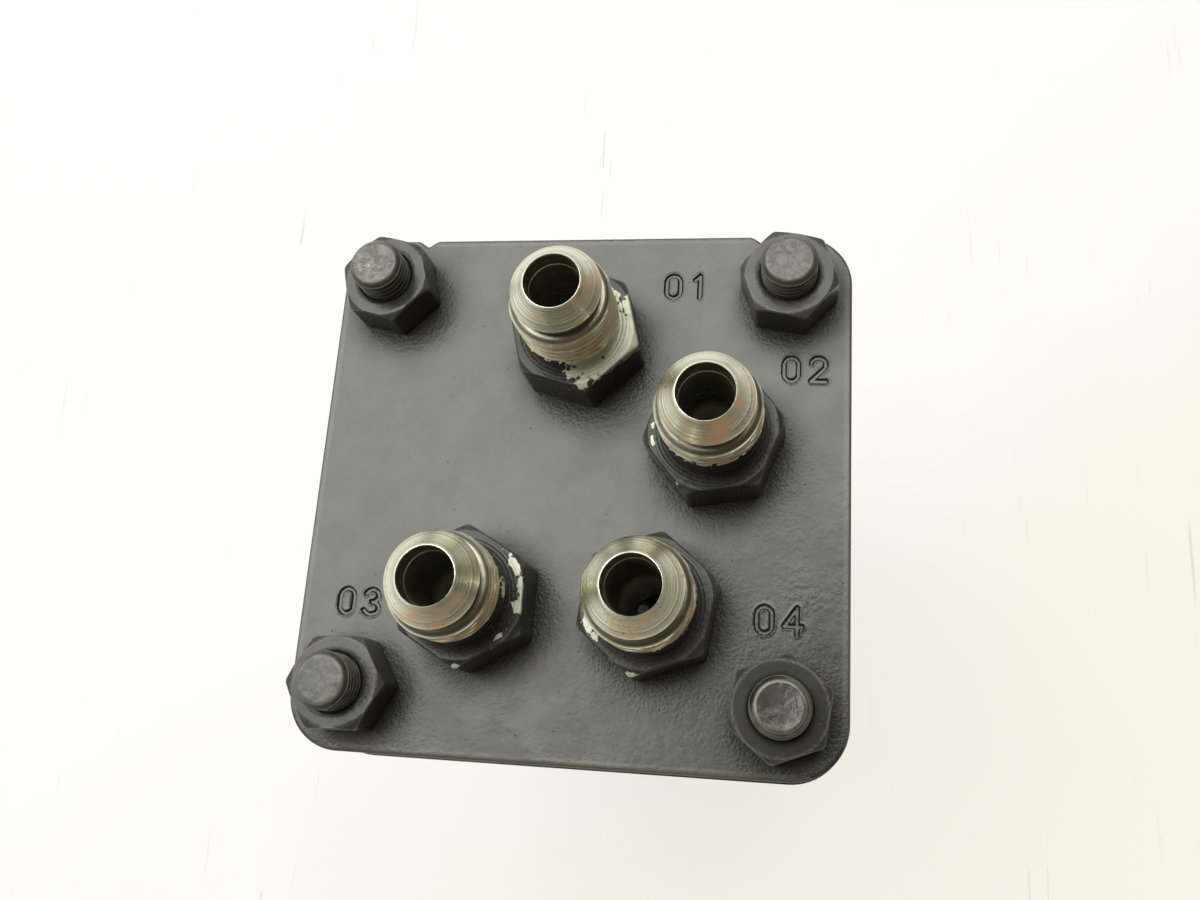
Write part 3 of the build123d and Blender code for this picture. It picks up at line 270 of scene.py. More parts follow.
def cover_grid():
    """The cover's face as a grid with closer lines at the stamps, eased into the rounded outline
    and pulled in at the notches, and the numbers of its border points in order."""
    half = COVER_HALF - COVER_EDGE
    lines_x, lines_y = (
        dense_line(half, [(middle[k] - reach, middle[k] + reach) for middle in STAMPS.values()])
        for k, reach in enumerate(STAMP_ZONE)
    )
    x, y = np.meshgrid(lines_x, lines_y)
    x, y = rounded_square(x, y, half, COVER_CORNER - COVER_EDGE)
    rows, columns = x.shape
    border = np.concatenate([
        np.arange(columns),
        (np.arange(1, rows) + 1) * columns - 1,
        (rows - 1) * columns + np.arange(columns - 2, -1, -1),
        np.arange(rows - 2, 0, -1) * columns,
    ])
    return x, notched(x, y), border


def round_holes(x, y):
    """Opens the round holes: every quad that reaches inside one goes, and the ring of points left
    round it moves along its own radii on to the circle."""
    holes = [(middle, PORT_HOLE_R) for middle in ports.values()]
    holes += [(middle, BOLT_HOLE_R) for middle in studs.values()]
    faces = grid_faces(*x.shape)
    x = x.ravel().copy()
    y = y.ravel().copy()
    inside = np.zeros(x.shape, dtype=int)
    for number, ((mid_x, mid_y), radius) in enumerate(holes, 1):
        inside[np.hypot(x - mid_x, y - mid_y) < radius] = number
    cut = inside[faces].max(1)
    kept = faces[cut == 0]
    used = np.zeros(x.shape, dtype=bool)
    used[kept.ravel()] = True
    hole_of = np.zeros(x.shape, dtype=int)
    for number, ((mid_x, mid_y), radius) in enumerate(holes, 1):
        ring = np.unique(faces[cut == number])
        ring = ring[used[ring]]
        hole_of[ring] = number
        gap = np.hypot(x[ring] - mid_x, y[ring] - mid_y)
        x[ring] = mid_x + (x[ring] - mid_x) * radius / gap
        y[ring] = mid_y + (y[ring] - mid_y) * radius / gap
    return x, y, kept, hole_of


def hole_rims(faces, hole_of):
    """The edges round the holes: pairs of ring points of one hole that only one quad uses."""
    pairs = np.concatenate([faces[:, [k, (k + 1) % 4]] for k in range(4)])
    pairs = pairs[(hole_of[pairs[:, 0]] > 0) & (hole_of[pairs[:, 0]] == hole_of[pairs[:, 1]])]
    key = np.sort(pairs, 1) @ (len(hole_of), 1)
    first_use, uses = np.unique(key, return_index=True, return_counts=True)[1:]
    return pairs[first_use[uses == 1]]


def close_underside(mesh):
    """Drops the points that no face uses and fills the flat underside between its open rings."""
    work = bmesh.new()
    work.from_mesh(mesh)
    bmesh.ops.delete(work, geom=[v for v in work.verts if not v.link_faces], context="VERTS")
    rings = [edge for edge in work.edges if edge.is_boundary]
    bmesh.ops.triangle_fill(work, use_beauty=True, edges=rings, normal=(0, 0, -1))
    work.to_mesh(mesh)
    work.free()


def cover_mesh():
    """The cover's skin: the relief grid on top, its border carried round the eased edge and down
    the sides, round holes for ports and bolts carried down, and a flat fill as the underside."""
    x, y, border = cover_grid()
    x, y, kept, hole_of = round_holes(x, y)
    height = plate_relief(x, y)
    height[border] = 0
    top = np.stack([x, y, FACE_Z + height], 1)

    loop = top[border]
    run = np.roll(loop, -1, 0)[:, :2] - np.roll(loop, 1, 0)[:, :2]
    out = np.stack([run[:, 1], -run[:, 0]], 1) / np.hypot(run[:, 0], run[:, 1])[:, None]
    turns = np.radians(np.linspace(22.5, 90, 4))
    offsets = [(COVER_EDGE * math.sin(a), COVER_EDGE * (math.cos(a) - 1)) for a in turns]
    offsets += [(COVER_EDGE, -d) for d in np.linspace(COVER_EDGE, COVER_T, COVER_BASE_ROWS)[1:]]
    sides = [np.column_stack([loop[:, :2] + out * o, np.full(len(loop), FACE_Z + z)])
             for o, z in offsets]
    count = len(top)
    step = np.arange(len(border))
    shoulder = np.stack([border, np.roll(border, -1), count + np.roll(step, -1), count + step], 1)
    wall = grid_faces(len(offsets), len(border), count, close_columns=True)

    rim = hole_rims(kept, hole_of)
    rim_points = np.unique(rim)
    base_of = np.zeros(count, dtype=int)
    base_of[rim_points] = count + len(offsets) * len(border) + np.arange(len(rim_points))
    bores = np.stack([rim[:, 1], rim[:, 0], base_of[rim[:, 0]], base_of[rim[:, 1]]], 1)
    base = np.column_stack([top[rim_points, :2], np.full(len(rim_points), FACE_Z - COVER_T)])
    points = np.concatenate([top] + sides + [base])
    faces = np.concatenate([kept, shoulder[:, ::-1], wall[:, ::-1], bores])

    x, y, z = points.T
    on_face = z > FACE_Z - 0.6
    near_edge = np.maximum(np.abs(x), np.abs(y)) > COVER_HALF - 0.9
    # Lighter paint along the chamfered top edge: a painted highlight
    edge = 0.7 * np.clip(1 - np.abs(z - FACE_Z + COVER_EDGE * 0.3) / 0.35, 0, 1) * near_edge
    # Painted shadow on the stamps' walls, fed to the paint's Shadow input as the wall attribute
    stamp_wall_shadow = np.exp(-(((stroke_gap(x, y) - STAMP_HALF_W - 0.07) / 0.085) ** 2)) * on_face
    marks = {"rough": overspray(x, y) * on_face, "edge": edge, "wall": stamp_wall_shadow}
    piece = new_piece("cover_plate", points, faces, marks)
    close_underside(piece.data)
    return piece


def socket_group(name, inputs, outputs):
    """A shader node group with float inputs and named outputs of the given socket types."""
    group = bpy.data.node_groups.new(name, "ShaderNodeTree")
    for key, value in inputs.items():
        socket = group.interface.new_socket(key, in_out="INPUT", socket_type="NodeSocketFloat")
        socket.default_value = value
    for key, kind in outputs.items():
        group.interface.new_socket(key, in_out="OUTPUT", socket_type=kind)
    return group, group.nodes.new("NodeGroupInput"), group.nodes.new("NodeGroupOutput")


class Shader:
    """Short names for adding and joining the nodes of one tree."""

    def __init__(self, tree):
        self.tree = tree

    def join(self, source, target):
        """Joins an output to an input, or sets the input when the source is a plain value."""
        if isinstance(source, bpy.types.NodeSocket):
            self.tree.links.new(source, target)
        else:
            target.default_value = source

    def math(self, operation, a, b=0.0, clamp=False):
        """One Math node on two values."""
        node = self.tree.nodes.new("ShaderNodeMath")
        node.operation = operation
        node.use_clamp = clamp
        self.join(a, node.inputs[0])
        self.join(b, node.inputs[1])
        return node.outputs[0]

    def plus(self, a, b, clamp=False):
        """a + b"""
        return self.math("ADD", a, b, clamp)

    def less(self, a, b, clamp=False):
        """a - b"""
        return self.math("SUBTRACT", a, b, clamp)

    def times(self, a, b, clamp=False):
        """a b"""
        return self.math("MULTIPLY", a, b, clamp)

    def ramp(self, value, low, high, bottom=0.0, top=1.0):
        """From bottom to top as the value goes from low to high, eased as 3t^2 - 2t^3."""
        node = self.tree.nodes.new("ShaderNodeMapRange")
        node.interpolation_type = "SMOOTHSTEP"
        for source, place in ((value, 0), (low, 1), (high, 2), (bottom, 3), (top, 4)):
            self.join(source, node.inputs[place])
        return node.outputs[0]

    def mix(self, share, a, b):
        """Colour a, going to colour b as the share goes to one."""
        node = self.tree.nodes.new("ShaderNodeMix")
        node.data_type = "RGBA"
        self.join(share, node.inputs[0])
        self.join(a, node.inputs[6])
        self.join(b, node.inputs[7])
        return node.outputs[2]

    def place(self):
        """Object coordinates in millimetres."""
        source = self.tree.nodes.new("ShaderNodeTexCoord")
        node = self.tree.nodes.new("ShaderNodeVectorMath")
        node.operation = "SCALE"
        self.join(source.outputs["Object"], node.inputs[0])
        node.inputs["Scale"].default_value = 1 / MM
        return node.outputs[0]

    def noise(self, vector, cell, detail=2.0, rough=0.5, warp=0.0):
        """Cloudy noise with its lumps about one cell wide, in millimetres."""
        node = self.tree.nodes.new("ShaderNodeTexNoise")
        self.join(vector, node.inputs["Vector"])
        node.inputs["Scale"].default_value = 1 / cell
        node.inputs["Detail"].default_value = detail
        node.inputs["Roughness"].default_value = rough
        node.inputs["Distortion"].default_value = warp
        return node.outputs[0]

    def cells(self, vector, cell, kind="F1"):
        """Distance to the nearest of points thrown one to a cell."""
        node = self.tree.nodes.new("ShaderNodeTexVoronoi")
        node.feature = kind
        self.join(vector, node.inputs["Vector"])
        node.inputs["Scale"].default_value = 1 / cell
        return node.outputs[0]

    def speckles(self, vector, cell, small, large, area, detail, low, high):
        """Dots thrown one to a cell, kept where a slow noise of the given area is high."""
        dots = self.ramp(self.cells(vector, cell), small, large, 1.0, 0.0)
        return self.times(dots, self.ramp(self.noise(vector, area, detail), low, high))

    def attribute(self, name):
        """The piece's own number per point."""
        node = self.tree.nodes.new("ShaderNodeAttribute")
        node.attribute_name = name
        return node.outputs["Fac"]

    def group(self, group, **values):
        """A node group in this tree with the given inputs; gives its outputs."""
        node = self.tree.nodes.new("ShaderNodeGroup")
        node.node_tree = group
        for key, value in values.items():
            self.join(value, node.inputs[key])
        return node.outputs


PAINT_DARK = (0.030, 0.030, 0.029, 1)
PAINT_LIGHT = (0.043, 0.043, 0.040, 1)
PAINT_DUSTY = (0.062, 0.061, 0.055, 1)
PAINT_FLECK = (0.16, 0.155, 0.14, 1)
# Near black for pits, also used as painted shade in recesses
PAINT_PIT_AND_SHADE = (0.008, 0.008, 0.008, 1)
# Lighter paint for worn corners and for painted highlights along edges and rims
PAINT_EDGE_WEAR_AND_HIGHLIGHT = (0.15, 0.128, 0.104, 1)
PAINT_IOR = 1.55


def paint_group():
    """Sprayed black paint: warm black with slow patches and dust, orange peel and fine grain,
    rougher and deeper grained where the Rough input says that it lies thick, that grain darker
    partly as painted shade; lighter where the Edge input says, for worn paint and painted
    highlights, and darker as painted shadow where the Shadow input says."""
    group, given, result = socket_group(
        "sprayed_paint",
        {"Rough": 0.0, "Edge": 0.0, "Dust": 0.5, "Peel": 1.0, "Shine": 0.5, "Shadow": 0.0},
        {"Color": "NodeSocketColor", "Roughness": "NodeSocketFloat", "Height": "NodeSocketFloat",
         "Specular": "NodeSocketFloat"},
    )
    s = Shader(group)
    rough, edge, dust, peel_share, shine, shadow = list(given.outputs)[:6]
    at = s.place()
    patches = s.noise(at, 14.0, 3.0)
    smudge = s.noise(at, 3.1, 4.0, 0.6, 0.4)
    base = s.mix(s.ramp(patches, 0.35, 0.65), PAINT_DARK, PAINT_LIGHT)
    base = s.mix(s.times(s.ramp(smudge, 0.52, 0.75), 0.35), base, PAINT_DUSTY)
    fleck = s.times(s.speckles(at, 0.9, 0.05, 0.16, 2.3, 2.0, 0.56, 0.66), dust)
    base = s.mix(fleck, base, PAINT_FLECK)
    pit = s.speckles(at, 1.7, 0.04, 0.12, 5.0, 1.0, 0.5, 0.6)
    base = s.mix(s.times(pit, 0.8), base, PAINT_PIT_AND_SHADE)
    grain = s.noise(at, 0.28, 3.0, 0.7)
    # Darker grain where the paint lies thick and rough: partly the paint's own grain, partly painted shade
    # among its pebbles
    dark_grain_and_shade = s.times(s.ramp(grain, 0.42, 0.3), rough)
    base = s.mix(s.times(dark_grain_and_shade, 0.9, True), base, PAINT_PIT_AND_SHADE)
    # Edge input: worn paint at corners, and a painted highlight along edges and rims
    base = s.mix(s.times(edge, 0.85), base, PAINT_EDGE_WEAR_AND_HIGHLIGHT)
    base = s.mix(s.times(shadow, 0.85), base, PAINT_PIT_AND_SHADE)
    s.join(base, result.inputs["Color"])
    gloss = s.ramp(s.noise(at, 6.0, 4.0, 0.6), 0.3, 0.7, 0.22, 0.32)
    gloss = s.plus(gloss, s.times(rough, 0.05))
    gloss = s.plus(gloss, s.times(fleck, 0.2), True)
    s.join(gloss, result.inputs["Roughness"])
    peel = s.times(s.noise(at, 0.7, 1.5, 0.4), peel_share)
    peel = s.times(peel, s.ramp(s.noise(at, 11.0, 2.0), 0.35, 0.65, 0.7, 1.7))
    pebble = s.times(s.cells(at, 0.42, "SMOOTH_F1"), -1.4)
    pebble = s.plus(pebble, s.noise(at, 0.26, 2.0, 0.6, 0.5))
    coarse = s.times(pebble, s.times(rough, 2.7))
    fine = s.times(s.noise(at, 0.2, 2.0, 0.6), 0.35)
    height = s.plus(s.plus(peel, coarse), fine)
    height = s.less(height, s.times(pit, 1.2))
    s.join(height, result.inputs["Height"])
    thin = s.less(1.0, s.times(rough, 0.75, True))
    lit = s.less(1.0, s.times(shadow, 0.7))
    s.join(s.times(s.times(thin, lit), shine), result.inputs["Specular"])
    return group


sprayed_paint = paint_group()


def new_material(name):
    """A material, the short names for its tree, and its Principled shader."""
    material = bpy.data.materials.new(name)
    material.use_nodes = True
    return material, Shader(material.node_tree), material.node_tree.nodes["Principled BSDF"]


def emboss(s, shader, height, depth):
    """Joins a height to the shader's normal through one Bump node, its depth in millimetres."""
    bump = s.tree.nodes.new("ShaderNodeBump")
    bump.inputs["Distance"].default_value = depth * MM
    s.join(height, bump.inputs["Height"])
    s.join(bump.outputs[0], shader.inputs["Normal"])


def painted(name, rough=0.0, dust=0.5, peel=1.0, relief=0.02, shine=0.5, attributes=False):
    """A painted material: the paint group, with its roughness either the same all over or read
    from the piece's attributes, into a Principled shader."""
    material, s, shader = new_material(name)
    values = {"Rough": rough, "Edge": 0.0, "Dust": dust, "Peel": peel, "Shine": shine}
    if attributes:
        values["Rough"] = s.attribute("rough")
        values["Edge"] = s.attribute("edge")
        values["Shadow"] = s.attribute("wall")
    paint = s.group(sprayed_paint, **values)
    s.join(paint["Color"], shader.inputs["Base Color"])
    s.join(paint["Roughness"], shader.inputs["Roughness"])
    s.join(paint["Specular"], shader.inputs["Specular IOR Level"])
    emboss(s, shader, paint["Height"], relief)
    shader.inputs["IOR"].default_value = PAINT_IOR
    return material


cover_plate = cover_mesh()
cover_paint = painted("cover_paint", attributes=True, relief=0.022)
cover_plate.data.materials.append(cover_paint)
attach(cover_plate, "housing")
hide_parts("port_cover")

# ---------------------------------------------------------------- clamp nuts
# Four plain hexagon nuts, half an inch across flats, cold formed with a chamfer at each face,
# countersunk at the thread, run down on the bolts and painted over together with the cover.
NUT_AF = 12.7
NUT_H = 6.75
NUT_CHAMFER_R = 6.25
NUT_SINK_R = 4.5
NUT_SINK_DEPTH = 0.5
NUT_TURN = {1: 1.5, 2: 21.5, 3: 49.3, 4: 45.5}
STUD_R = 3.97
NUT_UNEVEN = 0.02
HEX_BEVEL = 0.16
HEX_CORNER_CUT = 0.12
CHAMFER_SLOPE = math.tan(math.radians(30))
TURN_STEPS = 192
# How strong each nut's painted highlight is along its upper bevel and the rim of its chamfer
NUT_OUTLINE_HIGHLIGHT = {1: 0.45, 2: 1.0, 3: 0.45, 4: 0.35}


def turn_angles(steps=TURN_STEPS):
    """Equal angles round an axis; the first is at zero, and every sixth part meets a corner."""
    return np.arange(steps) * 2 * np.pi / steps


def hex_edge(angle, flats):
    """Distance from the axis to a hexagon's side: half the flats over the cosine of the angle from
    the nearest side's middle, cut short at the corners."""
    from_corner = np.abs((angle + np.pi / 6) % (np.pi / 3) - np.pi / 6)
    radius = flats / 2 / np.cos(np.pi / 6 - from_corner)
    return np.minimum(radius, flats / math.sqrt(3) - HEX_CORNER_CUT)


def hex_rows(angle, flats, low, high, inner, chamfer_r, bevel, steps=9):
    """Rows of a hexagon from its upper face to its lower one: across the face, down the chamfer
    cone where the corners pass it, round a small bevel and down the sides."""
    edge = hex_edge(angle, flats)
    rows = []
    for share in np.linspace(0, 1, steps):
        radius = inner + (edge - bevel - inner) * share
        rows.append((radius, high - np.clip(radius - chamfer_r, 0, None) * CHAMFER_SLOPE))
    fall = np.clip(edge - chamfer_r, 0, None) * CHAMFER_SLOPE
    for a in np.radians((30, 60, 90)):
        rows.append((edge - bevel * (1 - math.sin(a)), high - fall - bevel * (1 - math.cos(a)) - 0.02))
    shoulder = high - fall - bevel
    rows += [(edge, shoulder - (shoulder - low) * share) for share in np.linspace(0.08, 1, 7)]
    return rows


def lathe_points(rows, angle, middle, turn=0.0):
    """Rows of (radius, height) carried round the axis: x = mx + r cos(a), y = my + r sin(a)."""
    radius = np.array([np.broadcast_to(r, angle.shape) for r, z in rows])
    height = np.array([np.broadcast_to(z, angle.shape) for r, z in rows])
    spin = angle + math.radians(turn)
    x = middle[0] + radius * np.cos(spin)
    y = middle[1] + radius * np.sin(spin)
    return np.stack([x, y, height], 2), radius, height


def clamp_nut(number):
    """One nut: bore wall, countersink, face, chamfer, sides and underside as one closed ring of rows."""
    angle = turn_angles()
    low = FACE_Z
    high = FACE_Z + NUT_H
    rows = [(STUD_R + 0.03, low + share * (NUT_H - NUT_SINK_DEPTH)) for share in np.linspace(0, 1, 5)]
    rows += [(STUD_R + 0.03 + share * (NUT_SINK_R - STUD_R - 0.13),
              high - NUT_SINK_DEPTH * (1 - share)) for share in (0.33, 0.66, 0.94)]
    rows += [(NUT_SINK_R - 0.06, high - 0.02)]
    rows += hex_rows(angle, NUT_AF, low + 0.3, high, NUT_SINK_R, NUT_CHAMFER_R, HEX_BEVEL)
    edge = hex_edge(angle, NUT_AF)
    rows += [(edge - 0.1, low + 0.1), (np.minimum(edge, NUT_CHAMFER_R + 0.3) - 0.15, low)]
    points, radius, height = lathe_points(rows, angle, studs[number], NUT_TURN[number])
    wobble = lattice_noise(points[..., 0] + 7 * number, points[..., 1] + points[..., 2], 2.2, 20 + number)
    points[..., 2] += NUT_UNEVEN * wobble * (height > low + 0.5)
    faces = grid_faces(len(rows), len(angle), close_rows=True, close_columns=True)
    # Worn paint at the corners near the top, and a painted highlight along the bevel and the chamfer's rim
    corner = np.clip((radius - NUT_AF / 2 - 0.5) / 0.4, 0, 1)
    rim = np.exp(-(((radius - NUT_CHAMFER_R) / 0.13) ** 2)) * (height > high - 0.4)
    fall = np.clip(edge - NUT_CHAMFER_R, 0, None) * CHAMFER_SLOPE
    outline = np.clip(1 - (edge - radius) / 0.22, 0, 1)
    outline = outline * np.clip(1 - np.abs(high - fall - 0.5 * HEX_BEVEL - height) / 0.3, 0, 1)
    outline = np.maximum(outline, rim) * NUT_OUTLINE_HIGHLIGHT[number]
    edge_wear_and_highlight = np.maximum(0.5 * corner * (height > high - 1.2), outline)
    rough = np.clip((radius < NUT_SINK_R + 0.4) * 0.6 + (height < low + 0.7) * 0.5, 0, 1)
    return new_piece(f"nut_{number}", points, faces, {"edge": edge_wear_and_highlight, "rough": rough}, sharp=26)


nut_paint = painted("nut_paint", attributes=True, dust=0.8, relief=0.028, shine=0.36)
nut_paint_dull = painted("nut_paint_dull", attributes=True, dust=0.9, relief=0.014, shine=0.10)
for number in studs:
    nut = clamp_nut(number)
    nut.data.materials.append(nut_paint_dull if number == 2 else nut_paint)
    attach(nut, "housing")
    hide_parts(f"clamp_nut_{number}")

# ---------------------------------------------------------------- clamp bolts
# Four long bolts of 5/16 inch with a fine rolled thread that hold the whole stack together. The
# ends stand out of the nuts with paint in the threads, painted shade in the thread roots and a
# painted highlight on the crests and the end's rim, and are bruised and worn on the flat.
BOLT_HEAD_H = 5.3
BOLT_PITCH = 1.058
BOLT_THREAD_DEPTH = 0.5
BOLT_POINT_H = 0.66
BOLT_FLAT_R = STUD_R - 0.82
BOLT_DENT = 0.10
BOLT_BRUISE = 0.05
BOLT_DISH = 0.13
THREAD_OUT = 13.5
# How bare, how scuffed and how oily the end of each bolt is, 0 to 1
END_WEAR = {1: 0.22, 2: 0.10, 3: 0.30, 4: 0.56}
END_HAZE = {1: 0.4, 2: 0.12, 3: 0.5, 4: 0.8}
END_OIL = {1: 0.1, 2: 1.0, 3: 0.0, 4: 0.0}


def thread_wave(turns):
    """A rolled thread's depth share for a height counted in turns: flat crest, straight flanks
    and a rounded root."""
    share = np.abs((turns % 1.0) - 0.5) * 2
    return np.clip((share - 0.16) / 0.70, 0, 1)


def threaded(angle, radius, depth, pitch, low, high, fade=0.6, step=0.115):
    """Rows of an outside thread from low to high: the radius falls by depth times the thread wave
    of height over pitch less angle over a turn, fading in at both ends."""
    rows = []
    for z in np.arange(low, high, step):
        blend = np.clip(min(z - low, high - z) / fade, 0, 1)
        wave = thread_wave(z / pitch - angle / (2 * np.pi))
        rows.append((radius - depth * blend * wave, z))
    return rows


def clamp_bolt(number):
    """One bolt from its head below to its end above, closed at both poles."""
    angle = turn_angles(96)
    low, high = (corner[2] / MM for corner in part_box(f"clamp_bolt_{number}"))
    seat = low + BOLT_HEAD_H
    edge = hex_edge(angle, NUT_AF)
    rows = [(0.02, low)]
    rows += [(share * NUT_CHAMFER_R, low) for share in (0.3, 0.6, 0.8, 1.0)]
    fall = np.clip(edge - NUT_CHAMFER_R, 0, None) * CHAMFER_SLOPE
    rows += [((edge + NUT_CHAMFER_R) / 2, low + fall / 2), (edge - 0.08, low + fall)]
    rows += [(edge, low + fall + 0.12 + share * (seat - low - fall - 0.12))
             for share in np.linspace(0, 1, 6)]
    rows += [(STUD_R, seat)]
    rows += [(STUD_R, z) for z in np.linspace(seat + 0.5, high - THREAD_OUT, 10)]
    rows += threaded(angle, STUD_R, BOLT_THREAD_DEPTH, BOLT_PITCH, high - THREAD_OUT + 0.1, high - 0.72)
    rows += [(STUD_R - 0.16 - BOLT_POINT_H * share, high - BOLT_POINT_H * (1 - share) ** 1.5)
             for share in np.linspace(0, 1, 6)]
    rows += [(BOLT_FLAT_R * share, high) for share in np.linspace(0.9, 0.006, 14)]
    points, radius, height = lathe_points(rows, angle, studs[number])
    dent = lattice_noise(points[..., 0] + 11 * number, points[..., 1], 1.6, 30 + number)
    small = lattice_noise(points[..., 0] + 5 * number, points[..., 1], 0.7, 40 + number)
    on_end = (height > high - 0.5) * np.clip((STUD_R - 0.35 - radius) / 0.4, 0, 1)
    calm = 1 - 0.75 * END_OIL[number]
    dish = np.clip(1 - (radius / BOLT_FLAT_R) ** 2, 0, 1)
    bruised = BOLT_DENT * (dent * 0.5 + 0.5) + BOLT_BRUISE * (small * 0.5 + 0.5)
    points[..., 2] -= on_end * calm * bruised
    points[..., 2] -= on_end * END_OIL[number] * BOLT_DISH * dish
    count = len(angle)
    total = len(rows) * count
    faces = grid_faces(len(rows), count, close_columns=True).tolist()
    faces += [list(range(count))[::-1], list(range(total - count, total))]
    # Painted highlight on the thread crests and round the rim of the end's flat, and painted shade in the
    # thread roots
    thread = (height > FACE_Z + NUT_H - 0.3) & (height < high - 0.7)
    crest = thread * np.clip((radius - STUD_R + 0.2) / 0.15, 0, 1)
    end_rim_highlight = (height > high - 0.3) * np.exp(-(((radius - BOLT_FLAT_R - 0.12) / 0.12) ** 2))
    marks = {
        "edge": np.clip(on_end * END_WEAR[number] * (0.6 + 0.4 * dent), 0, 1),
        "rough": 0.8 * (height < FACE_Z + NUT_H + 1.6) * (height > FACE_Z),
        "haze": on_end * END_HAZE[number],
        "crest": np.maximum(crest, end_rim_highlight),
        "root_shade": thread * np.clip((STUD_R - 0.2 - radius) / 0.25, 0, 1),
        "oil": np.full(radius.shape, END_OIL[number]),
    }
    return new_piece(f"bolt_{number}", points, faces, marks, sharp=40)


STEEL_DARK = (0.36, 0.36, 0.33, 1)
STEEL_LIGHT = (0.58, 0.57, 0.52, 1)
STEEL_GRIME = (0.10, 0.095, 0.08, 1)


def metal_wear_group():
    """Bare worn steel: grey metal with fine pits and smears of grime."""
    group, given, result = socket_group(
        "worn_steel",
        {"Grime": 0.4},
        {"Color": "NodeSocketColor", "Roughness": "NodeSocketFloat", "Height": "NodeSocketFloat"},
    )
    s = Shader(group)
    at = s.place()
    grime = s.ramp(s.noise(at, 1.3, 4.0, 0.65, 0.5), 0.42, 0.68)
    grime = s.times(grime, given.outputs["Grime"])
    colour = s.mix(s.noise(at, 0.5, 3.0), STEEL_DARK, STEEL_LIGHT)
    colour = s.mix(grime, colour, STEEL_GRIME)
    pits = s.speckles(at, 0.55, 0.06, 0.2, 2.0, 2.0, 0.52, 0.62)
    colour = s.mix(pits, colour, PAINT_PIT_AND_SHADE)
    s.join(colour, result.inputs["Color"])
    s.join(s.plus(s.times(grime, 0.35), 0.28), result.inputs["Roughness"])
    height = s.less(s.noise(at, 0.3, 3.0, 0.6), pits)
    s.join(height, result.inputs["Height"])
    return group


worn_steel = metal_wear_group()
END_SCUFF = (0.24, 0.235, 0.205, 1)
END_OILED = (0.012, 0.012, 0.009, 1)
END_OILED_PALE = (0.050, 0.049, 0.040, 1)
# Colour of the painted highlight on the thread crests and the end's rim
END_RIM_HIGHLIGHT = (0.17, 0.155, 0.125, 1)


def bolt_material():
    """Black paint over the bolt, worn through to bruised steel where the edge attribute is high."""
    material, s, shader = new_material("bolt_finish")
    paint = s.group(sprayed_paint, Rough=s.attribute("rough"), Edge=0.0, Dust=0.9, Peel=0.6, Shine=0.42)
    steel = s.group(worn_steel, Grime=0.9)
    at = s.place()
    ragged = s.plus(s.attribute("edge"), s.times(s.noise(at, 0.9, 5.0, 0.7, 0.5), 0.9))
    bare = s.ramp(ragged, 0.98, 1.10)
    haze = s.times(s.attribute("haze"), s.ramp(s.noise(at, 1.1, 6.0, 0.75, 0.8), 0.43, 0.60))
    coat = s.mix(s.times(haze, 0.8), paint["Color"], END_SCUFF)
    # Painted shade in the thread roots
    coat = s.mix(s.times(s.attribute("root_shade"), 0.85), coat, PAINT_PIT_AND_SHADE)
    oiled = s.mix(s.ramp(s.noise(at, 2.2, 3.0, 0.6, 0.6), 0.38, 0.62), END_OILED, END_OILED_PALE)
    coat = s.mix(s.times(s.attribute("oil"), 0.8), coat, oiled)
    # Painted highlight on the thread crests and the end's rim
    coat = s.mix(s.times(s.attribute("crest"), 0.7), coat, END_RIM_HIGHLIGHT)
    s.join(s.mix(bare, coat, steel["Color"]), shader.inputs["Base Color"])
    s.join(s.times(bare, 0.75), shader.inputs["Metallic"])
    s.join(s.plus(paint["Specular"], s.times(s.attribute("oil"), 0.25)),
           shader.inputs["Specular IOR Level"])
    dull = s.plus(paint["Roughness"], s.times(bare, 0.08))
    s.join(s.less(dull, s.times(s.attribute("oil"), 0.12)), shader.inputs["Roughness"])
    emboss(s, shader, s.plus(paint["Height"], s.times(bare, -0.8)), 0.03)
    return material


bolt_finish = bolt_material()
for number in studs:
    bolt = clamp_bolt(number)
    bolt.data.materials.append(bolt_finish)
    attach(bolt, "housing")
    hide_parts(f"clamp_bolt_{number}")

# ---------------------------------------------------------------- port fittings
# Steel adapters turned from hexagon bar: a straight thread with an O-ring into the cover, and a
# 37 degree flare end for the hose. The flare ends were capped when the unit was sprayed, so they
# are bare above the middle of the thread, and spanners have chipped the paint off some corners.
FIT_AF = 17.46
FIT_HEX_H = 8.5
FIT_THREAD_R = 7.144
FIT_THREAD_PITCH = 1.411
FIT_THREAD_DEPTH = 0.72
FIT_NECK_R = 6.3
FIT_THREAD_LOW = 12.0
FIT_THREAD_HIGH = 19.1
FIT_GROOVE_R = 5.7
FIT_RIM_R = 6.29
FIT_RIM_LOW = 20.9
FIT_RIM_TOP = 21.4
FIT_NOSE_R = 3.95
FIT_BORE_R = 3.77
FIT_STEM_R = 7.11
FIT_STEM_NECK_R = 6.0
FIT_STEM_NECK_L = 2.6
PORT_TURN = {"out": 44.0, "in": 9.5, "right": 20.0, "left": 30.0}
FIT_RING_PITCH = 0.52
FIT_RING_HEIGHT = 0.035
FIT_LEE_FROM = 60.0
# Height above the face at which the paint ends
PAINT_LINE = {"out": 11.8, "in": 14.6, "right": 13.6, "left": 13.8}
